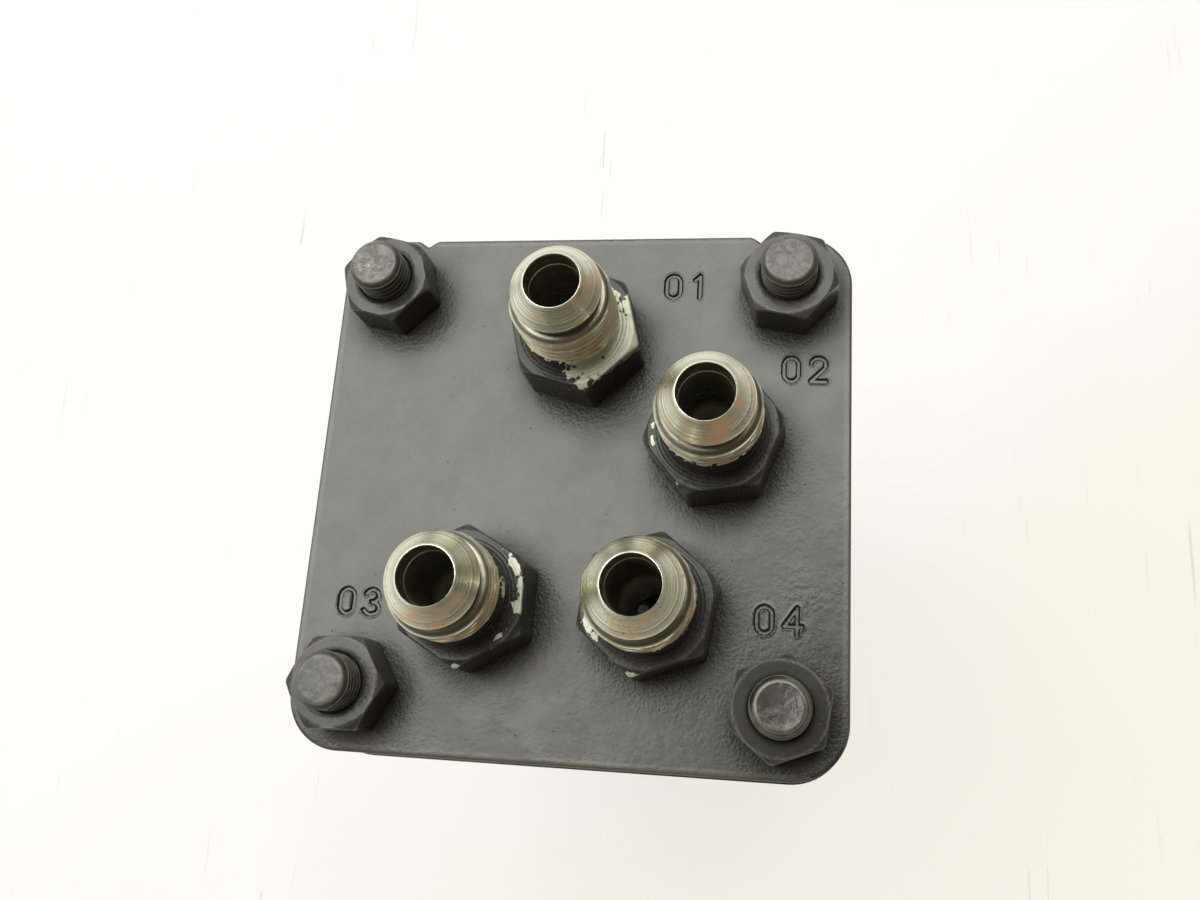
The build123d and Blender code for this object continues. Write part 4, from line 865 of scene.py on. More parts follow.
# Chips as (angle, radius, height, length round the axis, width across, share)
CHIPS = {
    "out": [(20, 8.5, 8.5, 1.9, 1.0, 1.25), (0, 8.9, 8.5, 2.6, 1.7, 1.5), (-22, 8.7, 8.4, 2.6, 1.7, 1.5),
            (-44, 8.0, 8.5, 2.4, 1.3, 1.3), (-64, 7.6, 8.5, 2.0, 1.2, 1.2), (-84, 7.2, 8.5, 1.6, 1.0, 1.0),
            (-77, 9.1, 8.4, 0.8, 0.9, 1.3), (-15, 6.4, 10.5, 4.2, 4.0, 1.6), (-65, 6.4, 10.5, 3.2, 3.4, 1.2),
            (30, 6.4, 10.5, 2.6, 2.6, 1.2)],
    "in": [(178, 8.3, 8.4, 0.7, 0.3, 1.1), (-166, 8.5, 8.4, 0.9, 0.3, 1.2), (-120, 9.2, 8.3, 0.3, 0.2, 0.9)],
    "right": [(-179, 8.0, 8.5, 1.0, 0.3, 1.0), (-156, 8.4, 8.5, 1.3, 0.5, 1.3),
              (-144, 8.2, 8.5, 0.8, 0.4, 1.2), (-98, 9.8, 8.2, 1.0, 0.5, 1.4),
              (-119, 9.0, 8.4, 0.5, 0.25, 1.0)],
    "left": [(30, 8.5, 8.5, 1.7, 0.55, 1.25), (9, 8.6, 8.5, 1.8, 0.5, 1.2), (-8, 8.5, 8.5, 1.0, 0.8, 1.25),
             (20, 7.3, 9.2, 1.6, 0.5, 0.9), (-42, 8.1, 8.5, 0.9, 0.35, 1.0), (-89, 9.9, 8.2, 0.6, 0.6, 1.4),
             (-54, 9.0, 8.4, 0.5, 0.3, 1.0), (5, 7.1, 12.4, 1.8, 1.2, 1.0)],
}


def segment(start, end, count):
    """Rows along a straight part of the profile, without its end."""
    share = np.linspace(0, 1, count, endpoint=False)
    return [(start[0] + (end[0] - start[0]) * s, start[1] + (end[1] - start[1]) * s) for s in share]


def fitting(name):
    """One adapter as a closed ring of rows: up the bore, over the nose, cone and groove, down the
    thread and neck, across and down the hexagon, down the stem and back to the bore."""
    angle = turn_angles()
    low, high = (corner[2] / MM - FACE_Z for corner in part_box("fitting_" + name))
    rows = segment((FIT_BORE_R - 0.1, low), (FIT_BORE_R - 0.1, high - 3.0), 8)
    rows += segment((FIT_BORE_R - 0.1, high - 3.0), (FIT_BORE_R, high - 2.9), 3)
    rows += segment((FIT_BORE_R, high - 2.85), (FIT_BORE_R, high - 0.2), 8)
    rows += segment((FIT_BORE_R, high - 0.16), (FIT_BORE_R + 0.07, high - 0.02), 4)
    rows += segment((FIT_BORE_R + 0.08, high), (FIT_NOSE_R, high - 0.03), 3)
    rows += segment((FIT_NOSE_R + 0.02, high - 0.06), (FIT_RIM_R - 0.06, FIT_RIM_TOP + 0.1), 22)
    rows += segment((FIT_RIM_R, FIT_RIM_TOP - 0.02), (FIT_RIM_R, FIT_RIM_LOW + 0.08), 4)
    rows += segment((FIT_RIM_R - 0.05, FIT_RIM_LOW), (FIT_GROOVE_R + 0.15, FIT_RIM_LOW - 0.1), 3)
    rows += segment((FIT_GROOVE_R, FIT_RIM_LOW - 0.3), (FIT_GROOVE_R, FIT_THREAD_HIGH + 0.25), 4)
    rows += segment((FIT_GROOVE_R + 0.12, FIT_THREAD_HIGH - 0.05), (6.35, FIT_THREAD_HIGH - 0.15), 4)
    rows += segment((6.45, FIT_THREAD_HIGH - 0.2), (FIT_THREAD_R - 0.06, FIT_THREAD_HIGH - 0.62), 4)
    thread = threaded(angle, FIT_THREAD_R, FIT_THREAD_DEPTH, FIT_THREAD_PITCH,
                      FIT_THREAD_LOW - 0.5, FIT_THREAD_HIGH - 0.66, 0.45, 0.12)
    rows += thread[::-1]
    rows += segment((FIT_NECK_R + 0.25, FIT_THREAD_LOW - 0.7), (FIT_NECK_R, FIT_THREAD_LOW - 1.2), 3)
    rows += segment((FIT_NECK_R, FIT_THREAD_LOW - 1.4), (FIT_NECK_R, FIT_HEX_H + 0.7), 4)
    rows += [(FIT_NECK_R + 0.5 * (1 - math.cos(a)), FIT_HEX_H + 0.6 * (1 - math.sin(a)))
             for a in np.radians((10, 35, 60, 80))]
    rows += hex_rows(angle, FIT_AF, 0.25, FIT_HEX_H, FIT_NECK_R + 0.6, FIT_AF / 2 + 0.25, 0.2, steps=22)
    edge = hex_edge(angle, FIT_AF)
    rows += [(edge - 0.1, 0.08), (edge - 0.35, 0.0), (8.0, 0.0)]
    rows += segment((FIT_STEM_NECK_R, 0.0), (FIT_STEM_NECK_R, -FIT_STEM_NECK_L), 3)
    rows += segment((FIT_STEM_R, -FIT_STEM_NECK_L), (FIT_STEM_R, low + 0.4), 4)
    rows += segment((FIT_STEM_R - 0.1, low + 0.3), (FIT_STEM_R - 0.42, low), 2)
    rows += segment((FIT_STEM_R - 0.5, low), (FIT_BORE_R + 0.1, low), 3)
    points, radius, height = lathe_points(rows, angle, ports[name], PORT_TURN[name])
    points[..., 2] += FACE_Z
    spin = np.broadcast_to(angle + math.radians(PORT_TURN[name]), radius.shape)
    along = np.concatenate([[0], np.cumsum(np.hypot(np.diff(radius[:, 0]), np.diff(height[:, 0])))])
    bare = np.clip((height - PAINT_LINE[name]) / 1.2 + 0.5, 0, 1)
    for degrees, reach, level, long, wide, share in CHIPS[name]:
        a = math.radians(degrees)
        off_x = radius * np.cos(spin) - reach * math.cos(a)
        off_y = radius * np.sin(spin) - reach * math.sin(a)
        around = (off_y * math.cos(a) - off_x * math.sin(a)) / long
        across = np.hypot(off_x * math.cos(a) + off_y * math.sin(a), height - level) / wide
        bare = np.maximum(bare, share * np.exp(-(around**2 + across**2)))
    bare = np.where(radius < FIT_BORE_R + 0.2, 1.0, bare)
    # Painted highlight: a bright line round the nose at the bore's mouth, and a faint bright ring down the
    # bore
    bright = np.exp(-(((radius - FIT_BORE_R - 0.11) / 0.08) ** 2)) * (height > high - 0.4)
    bright += 0.22 * np.exp(-(((height - high + 2.95) / 0.06) ** 2)) * (radius < FIT_BORE_R + 0.05)
    # Painted shade: darker in the groove and the chamfer under the rim, in the thread roots and down the
    # bore
    shade = np.clip((6.98 - radius) / 0.2, 0, 1) * (height < FIT_RIM_LOW) * (height > FIT_THREAD_HIGH - 0.5)
    in_thread = (height < FIT_THREAD_HIGH - 0.66) & (height > FIT_THREAD_LOW - 0.5)
    shade = np.maximum(shade, in_thread * np.clip((FIT_THREAD_R - 0.3 - radius) / 0.4, 0, 1) * 0.75)
    shade = np.maximum(shade, (radius < FIT_BORE_R + 0.02) * np.clip((high - 0.5 - height) / 5, 0.35, 0.8))
    rim = np.clip((radius - FIT_AF / 2 - 0.7) / 0.5, 0, 1) * (height > FIT_HEX_H - 1.6) * (height > 0.2)
    lee = 0.5 + 0.5 * np.cos(spin + math.radians(FIT_LEE_FROM))
    ring_zone = (height > FIT_HEX_H - 0.3) * (height < FIT_HEX_H + 0.2) * np.clip((8.6 - radius) / 0.8, 0, 1)
    drift = lattice_noise(height, spin * 3, 1, 9)
    points[..., 2] += FIT_RING_HEIGHT * ring_zone * np.sin(radius * 2 * np.pi / FIT_RING_PITCH + drift)
    neck_rough = np.clip((7.4 + 1.6 * lee - radius) / 1.2, 0, 1) * (0.5 + 0.5 * lee)
    rough = np.clip((height < 0.8) * 0.6 + (height > FIT_HEX_H - 0.2) * neck_rough, 0, 1)
    faces = grid_faces(len(rows), len(angle), close_rows=True, close_columns=True)
    marks = {
        "bare": bare,
        "bright": bright,
        "shade": shade,
        "edge": np.maximum(0.8 * rim, 0.7 * (height < 0.28) * (height > 0)),
        "rough": rough,
        "along": np.broadcast_to(along[:, None], radius.shape),
        "chip": height < FIT_HEX_H + 0.5,
        "lee": lee,
        # Tan on the lower bare thread, on the side away from the lights: partly soil, partly painted shade
        "soil_and_shade": 0.75 * lee * np.clip((16.8 - height) / 1.6, 0, 1),
    }
    return new_piece("adapter_" + name, points, faces, marks, sharp=32)


FITTING_WARM = (0.97, 0.97, 0.80, 1)
FITTING_COOL = (0.47, 0.48, 0.36, 1)
# Tan for stain, also laid on as painted shade on the side away from the lights
FITTING_TAN_STAIN_AND_SHADE = (0.76, 0.53, 0.35, 1)
# Dark for the broad lathe bands, and for painted shade
FITTING_DARK_AND_SHADE = (0.13, 0.13, 0.105, 1)
# Colour of the painted highlight at the nose and in the bore
FITTING_HIGHLIGHT = (0.93, 0.93, 0.88, 1)
CHIP_METAL = (0.62, 0.63, 0.54, 1)
RUST_SPOT = (0.075, 0.035, 0.02, 1)


def fitting_material():
    """Turned steel with lathe rings that follow the profile, patches of tan stain that is stronger on
    the side away from the lights as painted shade, pits, painted shade in the groove, thread roots
    and bore, and a painted highlight round the nose, under black paint that ends raggedly and is
    chipped to bright metal."""
    material, s, shader = new_material("fitting_finish")
    at = s.place()
    ring_vector = s.tree.nodes.new("ShaderNodeCombineXYZ")
    s.join(s.attribute("along"), ring_vector.inputs[0])
    s.join(s.times(s.noise(at, 4.0, 1.0), 0.25), ring_vector.inputs[1])
    rings = s.noise(ring_vector.outputs[0], 0.36, 4.0, 0.8)
    broad = s.noise(ring_vector.outputs[0], 0.9, 2.0, 0.6)
    colour = s.mix(s.ramp(rings, 0.36, 0.60), FITTING_COOL, FITTING_WARM)
    # Tan stain, stronger on the side away from the lights: partly stain, partly painted shade
    side = s.plus(s.times(s.math("POWER", s.attribute("lee"), 2.0), 1.4), 0.28)
    stain = s.times(s.ramp(s.noise(at, 3.0, 3.0, 0.6), 0.42, 0.66), 0.62)
    stain = s.times(stain, side, True)
    low_thread = s.times(s.attribute("soil_and_shade"), s.ramp(s.noise(at, 1.4, 4.0, 0.65), 0.35, 0.6))
    stain = s.math("MAXIMUM", stain, low_thread)
    colour = s.mix(stain, colour, FITTING_TAN_STAIN_AND_SHADE)
    colour = s.mix(s.times(s.ramp(broad, 0.58, 0.75), 0.35), colour, FITTING_DARK_AND_SHADE)
    pits = s.speckles(at, 0.62, 0.07, 0.2, 2.4, 3.0, 0.52, 0.62)
    colour = s.mix(s.times(pits, 0.9), colour, PAINT_PIT_AND_SHADE)
    spots = s.ramp(s.noise(at, 0.55, 3.0, 0.7), 0.60, 0.70)
    spots = s.times(spots, s.ramp(s.noise(at, 3.2, 1.0), 0.54, 0.64))
    colour = s.mix(spots, colour, RUST_SPOT)
    # Painted shade in the groove, thread roots and bore
    colour = s.mix(s.times(s.attribute("shade"), 0.85), colour, FITTING_DARK_AND_SHADE)
    # Painted highlight round the nose and down the bore
    lip = s.times(s.attribute("bright"), s.ramp(s.noise(at, 0.9, 4.0, 0.7), 0.3, 0.55))
    colour = s.mix(lip, colour, FITTING_HIGHLIGHT)
    paint = s.group(sprayed_paint, Rough=s.attribute("rough"), Edge=s.attribute("edge"),
                    Dust=0.9, Peel=1.0, Shine=0.3)
    flake = s.less(s.noise(at, 0.8, 5.0, 0.75, 0.6), 0.5)
    flake = s.plus(flake, s.times(s.less(s.cells(at, 0.75), 0.42), 0.7))
    ragged = s.plus(s.attribute("bare"), s.times(flake, 1.1))
    bare = s.ramp(ragged, 0.5, 0.56)
    chip = s.attribute("chip")
    chipped = s.mix(s.ramp(s.noise(at, 0.7, 4.0, 0.7), 0.3, 0.7), CHIP_METAL, FITTING_COOL)
    colour = s.mix(chip, colour, chipped)
    s.join(s.mix(bare, paint["Color"], colour), shader.inputs["Base Color"])
    dull = s.math("MAXIMUM", s.math("MAXIMUM", pits, spots), s.times(chip, 1.4))
    metal = s.times(bare, s.less(1.0, s.times(dull, 0.6), True))
    s.join(metal, shader.inputs["Metallic"])
    steel_rough = s.plus(s.ramp(rings, 0.3, 0.7, 0.36, 0.25), s.times(stain, 0.2))
    mix_rough = s.plus(s.times(bare, steel_rough),
                       s.times(s.less(1.0, bare), paint["Roughness"]))
    s.join(mix_rough, shader.inputs["Roughness"])
    s.join(paint["Specular"], shader.inputs["Specular IOR Level"])
    groove = s.times(s.times(s.less(rings, 0.5), 1.1), bare)
    cover = s.times(s.less(1.0, bare), s.plus(paint["Height"], 2.2))
    deep = s.times(s.times(pits, 1.4), bare)
    emboss(s, shader, s.less(s.plus(groove, cover), deep), 0.028)
    return material


fitting_finish = fitting_material()
for name in PORT_NAMES:
    adapter = fitting(name)
    adapter.data.materials.append(fitting_finish)
    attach(adapter, "housing")
    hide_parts("fitting_" + name)

# ---------------------------------------------------------------- stack plates
# The port manifold, valve ring, isolation manifold and metering ring: ground steel plates whose
# outer edges took the same black paint once the stack was bolted up.
SEAM_HEIGHTS = (21.0, 43.0, 51.0, 57.35, 66.85)
SEAM_HALF_W = 0.07
SEAM_RAGGED = 0.09
OILED_INSIDE = (0.010, 0.010, 0.009, 1)
SKIN_MIDDLE = 31.7
SKIN_REACH = 6.9


def darken_inside(material):
    """Bare oiled steel inside the painted skin: with u = |x| and v = |y| less the corner arcs'
    centre, and not under zero, the colour goes to dark oil where sqrt(u u + v v) is small."""
    s = Shader(material.node_tree)
    shader = s.tree.nodes["Principled BSDF"]
    split = s.tree.nodes.new("ShaderNodeSeparateXYZ")
    s.join(s.place(), split.inputs[0])
    along, across = (
        s.math("MAXIMUM", s.less(s.math("ABSOLUTE", split.outputs[k]), SKIN_MIDDLE), 0.0)
        for k in (0, 1)
    )
    reach = s.math("SQRT", s.plus(s.times(along, along), s.times(across, across)))
    inside = s.ramp(reach, SKIN_REACH, SKIN_REACH + 0.2, 1.0, 0.0)
    colour = shader.inputs["Base Color"].links[0].from_socket
    s.join(s.mix(inside, colour, OILED_INSIDE), shader.inputs["Base Color"])


def add_seams(material):
    """Darkens a thin line where two plates meet, and breaks the paint along it: the smallest
    distance in height to a seam, turned to a share from 0 to 1."""
    s = Shader(material.node_tree)
    shader = s.tree.nodes["Principled BSDF"]
    split = s.tree.nodes.new("ShaderNodeSeparateXYZ")
    at = s.place()
    s.join(at, split.inputs[0])
    gap = 9.0
    for level in SEAM_HEIGHTS:
        gap = s.math("MINIMUM", gap, s.math("ABSOLUTE", s.less(split.outputs[2], level)))
    ragged = s.times(s.less(s.noise(at, 0.8, 3.0), 0.5), SEAM_RAGGED)
    gap = s.plus(gap, ragged)
    line = s.ramp(gap, SEAM_HALF_W, SEAM_HALF_W + 0.05, 1.0, 0.0)
    colour = shader.inputs["Base Color"].links[0].from_socket
    bump = shader.inputs["Normal"].links[0].from_node
    height = bump.inputs["Height"].links[0].from_socket
    s.join(s.mix(line, colour, PAINT_PIT_AND_SHADE), shader.inputs["Base Color"])
    s.join(s.less(height, s.times(line, 3.0)), bump.inputs["Height"])


def dress(names, material):
    """Gives each of the named nodes this material alone."""
    for name in names:
        nodes[name].data.materials.clear()
        nodes[name].data.materials.append(material)


plate_paint = painted("plate_paint", rough=0.18, dust=0.7, relief=0.03)
add_seams(plate_paint)
darken_inside(plate_paint)
dress(("port_manifold", "valve_ring", "isolation_manifold", "metering_ring"), plate_paint)

# ---------------------------------------------------------------- upper cover
# Cast iron cover with the mounting boss, pilot and shaft bore: painted, with the sand's grain
# showing through.
casting_paint = painted("casting_paint", rough=0.42, dust=0.8, peel=1.6, relief=0.035)
add_seams(casting_paint)
dress(("upper_cover",), casting_paint)

# ---------------------------------------------------------------- input shaft
# Ground steel shaft that turns in the cover: a spline for the drive plate inside, a plain journal,
# forty tapered serrations for the wheel hub, and a rolled thread for the wheel nut, centre drilled.
SHAFT_SPLINE_LOW = 21.3
SHAFT_SPLINE_R = 8.57
SHAFT_SPLINE_TEETH = 12
SHAFT_SPLINE_DEPTH = 1.1
JOURNAL_R = 9.525
JOURNAL_LOW = -13.0
SERRATION_TEETH = 40
SERRATION_R = 8.75
SERRATION_TAPER = 0.55
SERRATION_DEPTH = 0.5
SERRATION_LOW = -27.0
NUT_RELIEF_R = 7.2
NUT_THREAD_R = 7.938
NUT_THREAD_HIGH = -29.2
NUT_THREAD_PITCH = 1.27
NUT_THREAD_DEPTH = 0.6
CENTRE_DRILL_R = 1.5


def toothed(angle, teeth, tip, depth, flat):
    """Radius of a toothed ring: the tip less the depth times a trapezoid wave of the angle, whose
    flat tips and roots take the given share of the pitch."""
    share = np.abs((angle * teeth / (2 * np.pi) + 0.5) % 1.0 - 0.5) * 2
    return tip - depth * np.clip((share - flat) / (1 - 2 * flat), 0, 1)


def shaft_mesh():
    """The shaft as rows from its upper end to the centre drilling, closed at both poles."""
    angle = turn_angles(480)
    low, high = (corner[2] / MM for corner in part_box("input_shaft"))
    spline = toothed(angle, SHAFT_SPLINE_TEETH, SHAFT_SPLINE_R, SHAFT_SPLINE_DEPTH, 0.3)
    rows = [(0.05 * spline, high), (0.6 * spline, high), (spline - 0.15, high), (spline, high - 0.15)]
    rows += [(spline, SHAFT_SPLINE_LOW)]
    rows += segment((JOURNAL_R, SHAFT_SPLINE_LOW), (JOURNAL_R, JOURNAL_LOW + 0.4), 14)
    rows += segment((JOURNAL_R, JOURNAL_LOW + 0.4), (JOURNAL_R - 0.4, JOURNAL_LOW), 4)
    for share in np.linspace(0, 1, 12):
        tip = SERRATION_R - SERRATION_TAPER * share
        z = JOURNAL_LOW + (SERRATION_LOW - JOURNAL_LOW) * share
        rows.append((toothed(angle, SERRATION_TEETH, tip, SERRATION_DEPTH, 0.12), z))
    rows += segment((NUT_RELIEF_R + 0.12, SERRATION_LOW - 0.02), (NUT_RELIEF_R, SERRATION_LOW - 0.3), 3)
    rows += segment((NUT_RELIEF_R, SERRATION_LOW - 0.4), (NUT_RELIEF_R, NUT_THREAD_HIGH + 0.1), 5)
    rows += segment((NUT_RELIEF_R + 0.1, NUT_THREAD_HIGH), (NUT_THREAD_R - 0.02, NUT_THREAD_HIGH - 0.35), 3)
    rows += threaded(angle, NUT_THREAD_R, NUT_THREAD_DEPTH, NUT_THREAD_PITCH,
                     low + 0.8, NUT_THREAD_HIGH - 0.4)[::-1]
    rows += segment((NUT_THREAD_R, low + 0.75), (NUT_THREAD_R - 0.8, low), 6)
    rows += segment((NUT_THREAD_R - 0.9, low), (CENTRE_DRILL_R + 0.15, low), 12)
    rows += segment((CENTRE_DRILL_R, low + 0.1), (0.4, low + 2.0), 6)
    rows.append((0.05, low + 2.05))
    points, radius, height = lathe_points(rows, angle, (0, 0))
    nick = lattice_noise(points[..., 0], points[..., 1], 1.4, 61)
    on_end = (height < low + 0.02) * (radius > CENTRE_DRILL_R + 0.4)
    points[..., 2] += on_end * 0.05 * (nick * 0.5 + 0.5)
    total = len(rows) * len(angle)
    faces = grid_faces(len(rows), len(angle), close_columns=True)[:, ::-1].tolist()
    faces += [list(range(len(angle))), list(range(total - len(angle), total))[::-1]]
    tooth_tip = SERRATION_R - SERRATION_TAPER * (height - JOURNAL_LOW) / (SERRATION_LOW - JOURNAL_LOW)
    in_teeth = (height <= JOURNAL_LOW) & (height >= SERRATION_LOW)
    in_thread = (height < NUT_THREAD_HIGH - 0.5) & (height > low + 0.8)
    root = np.where(in_teeth, (tooth_tip - radius) / SERRATION_DEPTH, 0)
    root = np.where(in_thread, (NUT_THREAD_R - radius) / NUT_THREAD_DEPTH, root)
    root = np.where((height < SERRATION_LOW) & (height > NUT_THREAD_HIGH), 0.5, root)
    marks = {"root": np.clip(root, 0, 1), "lathe": np.where(in_teeth | in_thread, 0.2, 1.0)}
    return new_piece("wheel_shaft", points, faces, marks, sharp=30)


SHAFT_GROUND = (0.66, 0.655, 0.62, 1)
SHAFT_ROOT = (0.15, 0.12, 0.085, 1)
SHAFT_RUST = (0.30, 0.15, 0.07, 1)


def shaft_material():
    """Ground steel with rings round it, brown oil in the roots and a bloom of rust here and there."""
    material, s, shader = new_material("shaft_finish")
    at = s.place()
    steel = s.group(worn_steel, Grime=0.35)
    stretch = s.tree.nodes.new("ShaderNodeMapping")
    stretch.inputs["Scale"].default_value = (0.05, 0.05, 1.0)
    s.join(at, stretch.inputs["Vector"])
    rings = s.noise(stretch.outputs[0], 0.16, 3.0, 0.7)
    colour = s.mix(0.6, steel["Color"], SHAFT_GROUND)
    colour = s.mix(s.times(s.ramp(rings, 0.4, 0.65), 0.25), colour, STEEL_DARK)
    rust = s.times(s.ramp(s.noise(at, 2.6, 5.0, 0.65, 0.4), 0.55, 0.68), 0.55)
    colour = s.mix(rust, colour, SHAFT_RUST)
    root = s.times(s.attribute("root"), s.ramp(s.noise(at, 1.0, 3.0), 0.3, 0.6, 0.6, 1.0))
    colour = s.mix(root, colour, SHAFT_ROOT)
    s.join(colour, shader.inputs["Base Color"])
    s.join(s.less(1.0, s.times(rust, 0.7)), shader.inputs["Metallic"])
    dull = s.plus(s.times(s.math("MAXIMUM", rust, root), 0.3), 0.26)
    s.join(dull, shader.inputs["Roughness"])
    turned = s.times(rings, s.attribute("lathe"))
    emboss(s, shader, s.plus(turned, s.times(steel["Height"], 0.5)), 0.01)
    return material


wheel_shaft = shaft_mesh()
wheel_shaft.data.materials.append(shaft_material())
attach(wheel_shaft, "input")
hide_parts("input_shaft")


# ---------------------------------------------------------------- inner metal
# The lapped and ground pieces of the metering set, the bearing, springs and bushing: bare worn
# metal, oiled, each kind with its own tone.
def bare_metal(name, tone, rough, grime=0.3):
    """Oiled bare metal: the worn steel group tinted by the tone."""
    material, s, shader = new_material(name)
    steel = s.group(worn_steel, Grime=grime)
    s.join(s.mix(0.65, steel["Color"], tone), shader.inputs["Base Color"])
    shader.inputs["Metallic"].default_value = 1.0
    s.join(s.plus(s.times(steel["Roughness"], 0.5), rough), shader.inputs["Roughness"])
    emboss(s, shader, steel["Height"], 0.012)
    return material


dress(("drive_plate", "spacer_plate", "stator", "commutator_housing", "commutator_cover",
       "metering_screws", "drive_link", "valve_plate", "check_seat", "seal_washer"),
      bare_metal("ground_steel", (0.60, 0.60, 0.59, 1), 0.10))
dress(("rotor", "commutator", "thrust_needles", "thrust_race_cover", "thrust_race_drive",
       "check_ball", "dowel_pins"),
      bare_metal("lapped_steel", (0.74, 0.74, 0.73, 1), 0.02, 0.1))
dress(("valve_springs", "retaining_ring", "thrust_cage"),
      bare_metal("spring_steel", (0.27, 0.28, 0.31, 1), 0.16))
dress(("shaft_bushing",), bare_metal("bronze", (0.62, 0.42, 0.20, 1), 0.18, 0.4))

# ---------------------------------------------------------------- seals
# Moulded nitrile and polyurethane rings, and one filled PTFE face seal: matt, with a fine mould
# grain and dust.
def moulded(name, tone, rough):
    """Moulded rubber or plastic: the tone with a fine cloud of bloom and a mould grain."""
    material, s, shader = new_material(name)
    at = s.place()
    bloom = s.ramp(s.noise(at, 1.8, 4.0, 0.6), 0.45, 0.75)
    pale = tuple(min(1.0, value * 1.7 + 0.03) for value in tone[:3]) + (1,)
    s.join(s.mix(s.times(bloom, 0.5), tone, pale), shader.inputs["Base Color"])
    s.join(s.plus(s.times(bloom, 0.15), rough), shader.inputs["Roughness"])
    emboss(s, shader, s.noise(at, 0.18, 3.0, 0.6), 0.02)
    return material


nitrile = moulded("nitrile", (0.018, 0.018, 0.018, 1), 0.5)
dress(["shaft_seal", "face_seal_backup"], nitrile)
dress([f"port_o_ring_{name}" for name in PORT_NAMES], nitrile)
dress([f"body_seal_{number}" for number in range(1, 6)], nitrile)
dress(["dust_seal"], moulded("polyurethane", (0.07, 0.055, 0.04, 1), 0.42))
dress(["face_seal"], moulded("filled_ptfe", (0.62, 0.58, 0.50, 1), 0.45))

# ---------------------------------------------------------------- floor, light and camera
# A white bench top under the unit, two wide soft lights overhead, a room that is dim and warm on
# one side, and the camera over the lower right corner of the cover.
LENS_PIXELS = 1087.2
FRAME_PIXELS = 1200
SENSOR_MM = 36.0
CAMERA_PLACE = (30.94, -37.26, 152.04)
CAMERA_AIM = (3.50, 5.42, 0.0)
CAMERA_ROLL = 3.906
ROOM_DIM = 0.15
ROOM_BRIGHT = 0.72
ROOM_BRIGHT_SIDE = (-0.8, 0.6, 0.0)
ROOM_WARM = (1.0, 0.90, 0.68, 1)
ROOM_PALE = (1.0, 1.0, 0.93, 1)
BENCH_DROP = 0.05
BENCH_HALF = 1500.0
BENCH_WHITE = (0.93, 0.93, 0.92, 1)
BENCH_CREAM = (0.895, 0.87, 0.80, 1)
BENCH_CREAM_SIDE = (0.6, -0.8, 0.0)
BENCH_CREAM_SPAN = (-35.0, 105.0)
BENCH_SCRATCH = (0.62, 0.58, 0.50, 1)
BENCH_GLOW = 1.06
BENCH_GLOW_SHARE = 0.82
LIGHT_TINT = (1.0, 1.0, 0.94)
# Each light's place, its width and length, and its watts
LIGHTS = {
    "overhead": ((-365, 250, 800), (650, 700), 6.3),
    "overhead_far": ((150, 350, 800), (380, 500), 2.75),
}


def reach_along(s, vector, side):
    """How far a vector goes towards a side: their dot product."""
    node = s.tree.nodes.new("ShaderNodeVectorMath")
    node.operation = "DOT_PRODUCT"
    s.join(vector, node.inputs[0])
    node.inputs[1].default_value = side
    return node.outputs["Value"]


def bench_material():
    """Pale bench paint that goes from white to cream towards one side, with fine scratches; it
    glows where the camera, a reflection or a refraction sees it, so that it stays pale."""
    material, s, shader = new_material("bench_white")
    tree_nodes = s.tree.nodes
    at = s.place()
    cloud = s.times(s.noise(at, 60.0, 3.0, 0.6), 90.0)
    cream = s.ramp(s.plus(reach_along(s, at, BENCH_CREAM_SIDE), cloud), *BENCH_CREAM_SPAN)
    drawn_out = tree_nodes.new("ShaderNodeMapping")
    drawn_out.inputs["Rotation"].default_value = (0, 0, 0.7)
    drawn_out.inputs["Scale"].default_value = (1.0, 0.035, 1.0)
    s.join(at, drawn_out.inputs["Vector"])
    scratch = s.ramp(s.noise(drawn_out.outputs[0], 1.3, 2.0, 0.6, 0.4), 0.68, 0.72)
    scratch = s.times(scratch, s.ramp(s.noise(at, 40.0, 2.0), 0.5, 0.7))
    shade = s.mix(s.times(cream, 0.95), BENCH_WHITE, BENCH_CREAM)
    shade = s.mix(s.times(scratch, 0.5), shade, BENCH_SCRATCH)
    s.join(shade, shader.inputs["Base Color"])
    shader.inputs["Roughness"].default_value = 0.6
    glow = tree_nodes.new("ShaderNodeEmission")
    glow.inputs["Strength"].default_value = BENCH_GLOW
    s.join(shade, glow.inputs["Color"])
    path = tree_nodes.new("ShaderNodeLightPath")
    seen = s.math("MAXIMUM", path.outputs["Is Camera Ray"], path.outputs["Is Glossy Ray"])
    seen = s.math("MAXIMUM", seen, path.outputs["Is Transmission Ray"])
    blend = tree_nodes.new("ShaderNodeMixShader")
    s.join(s.times(seen, BENCH_GLOW_SHARE), blend.inputs[0])
    s.join(shader.outputs[0], blend.inputs[1])
    s.join(glow.outputs[0], blend.inputs[2])
    s.join(blend.outputs[0], tree_nodes["Material Output"].inputs["Surface"])
    return material


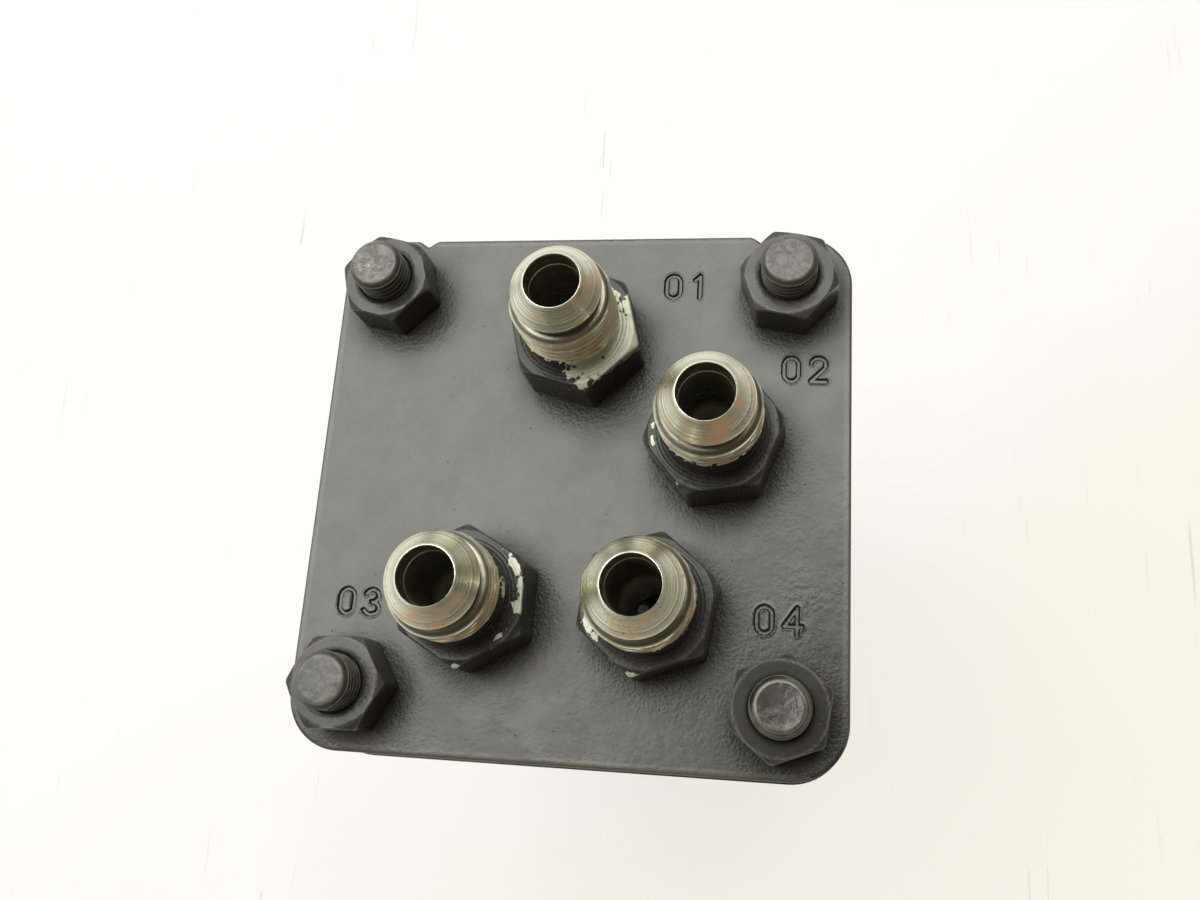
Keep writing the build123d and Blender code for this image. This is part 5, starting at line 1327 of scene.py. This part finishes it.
floor_z = cad_box[0][2] / MM - BENCH_DROP
floor_points = [(x * BENCH_HALF, y * BENCH_HALF, floor_z) for x, y in ((-1, -1), (1, -1), (1, 1), (-1, 1))]
floor = new_piece("bench_top", floor_points, [[0, 1, 2, 3]])
floor.data.materials.append(bench_material())

scene = bpy.context.scene
scene.view_settings.view_transform = "Standard"
world = bpy.data.worlds.new("room")
world.use_nodes = True
s = Shader(world.node_tree)
sky = s.tree.nodes["Background"]
heading = s.tree.nodes.new("ShaderNodeTexCoord").outputs["Generated"]
toward = reach_along(s, heading, ROOM_BRIGHT_SIDE)
room = s.ramp(toward, -0.4, 0.8, ROOM_DIM, ROOM_BRIGHT)
looking = s.tree.nodes.new("ShaderNodeLightPath").outputs["Is Camera Ray"]
s.join(s.math("MAXIMUM", room, looking), sky.inputs["Strength"])
tint = s.mix(s.ramp(toward, -0.5, 0.3), ROOM_WARM, ROOM_PALE)
s.join(s.mix(looking, tint, (1, 1, 1, 1)), sky.inputs["Color"])
scene.world = world

for name, (middle, size, power) in LIGHTS.items():
    panel = bpy.data.lights.new(name, "AREA")
    panel.shape = "RECTANGLE"
    panel.size, panel.size_y = (side * MM for side in size)
    panel.energy = power
    panel.color = LIGHT_TINT
    light = bpy.data.objects.new(name, panel)
    light.location = Vector(middle) * MM
    scene.collection.objects.link(light)

place = Vector(CAMERA_PLACE) + Vector((0, 0, FACE_Z))
aim = Vector(CAMERA_AIM) + Vector((0, 0, FACE_Z))
back = (place - aim).normalized()
right = Vector((0, 1, 0)).cross(back).normalized()
up = back.cross(right)
turned = Matrix((right, up, back)).transposed() @ Matrix.Rotation(math.radians(CAMERA_ROLL), 3, "Z")
lens = bpy.data.cameras.new("camera")
lens.sensor_width = SENSOR_MM
lens.lens = SENSOR_MM * LENS_PIXELS / FRAME_PIXELS
lens.clip_start = 0.005
camera = bpy.data.objects.new("camera", lens)
camera.matrix_world = Matrix.Translation(place * MM) @ turned.to_4x4()
scene.collection.objects.link(camera)
scene.camera = camera
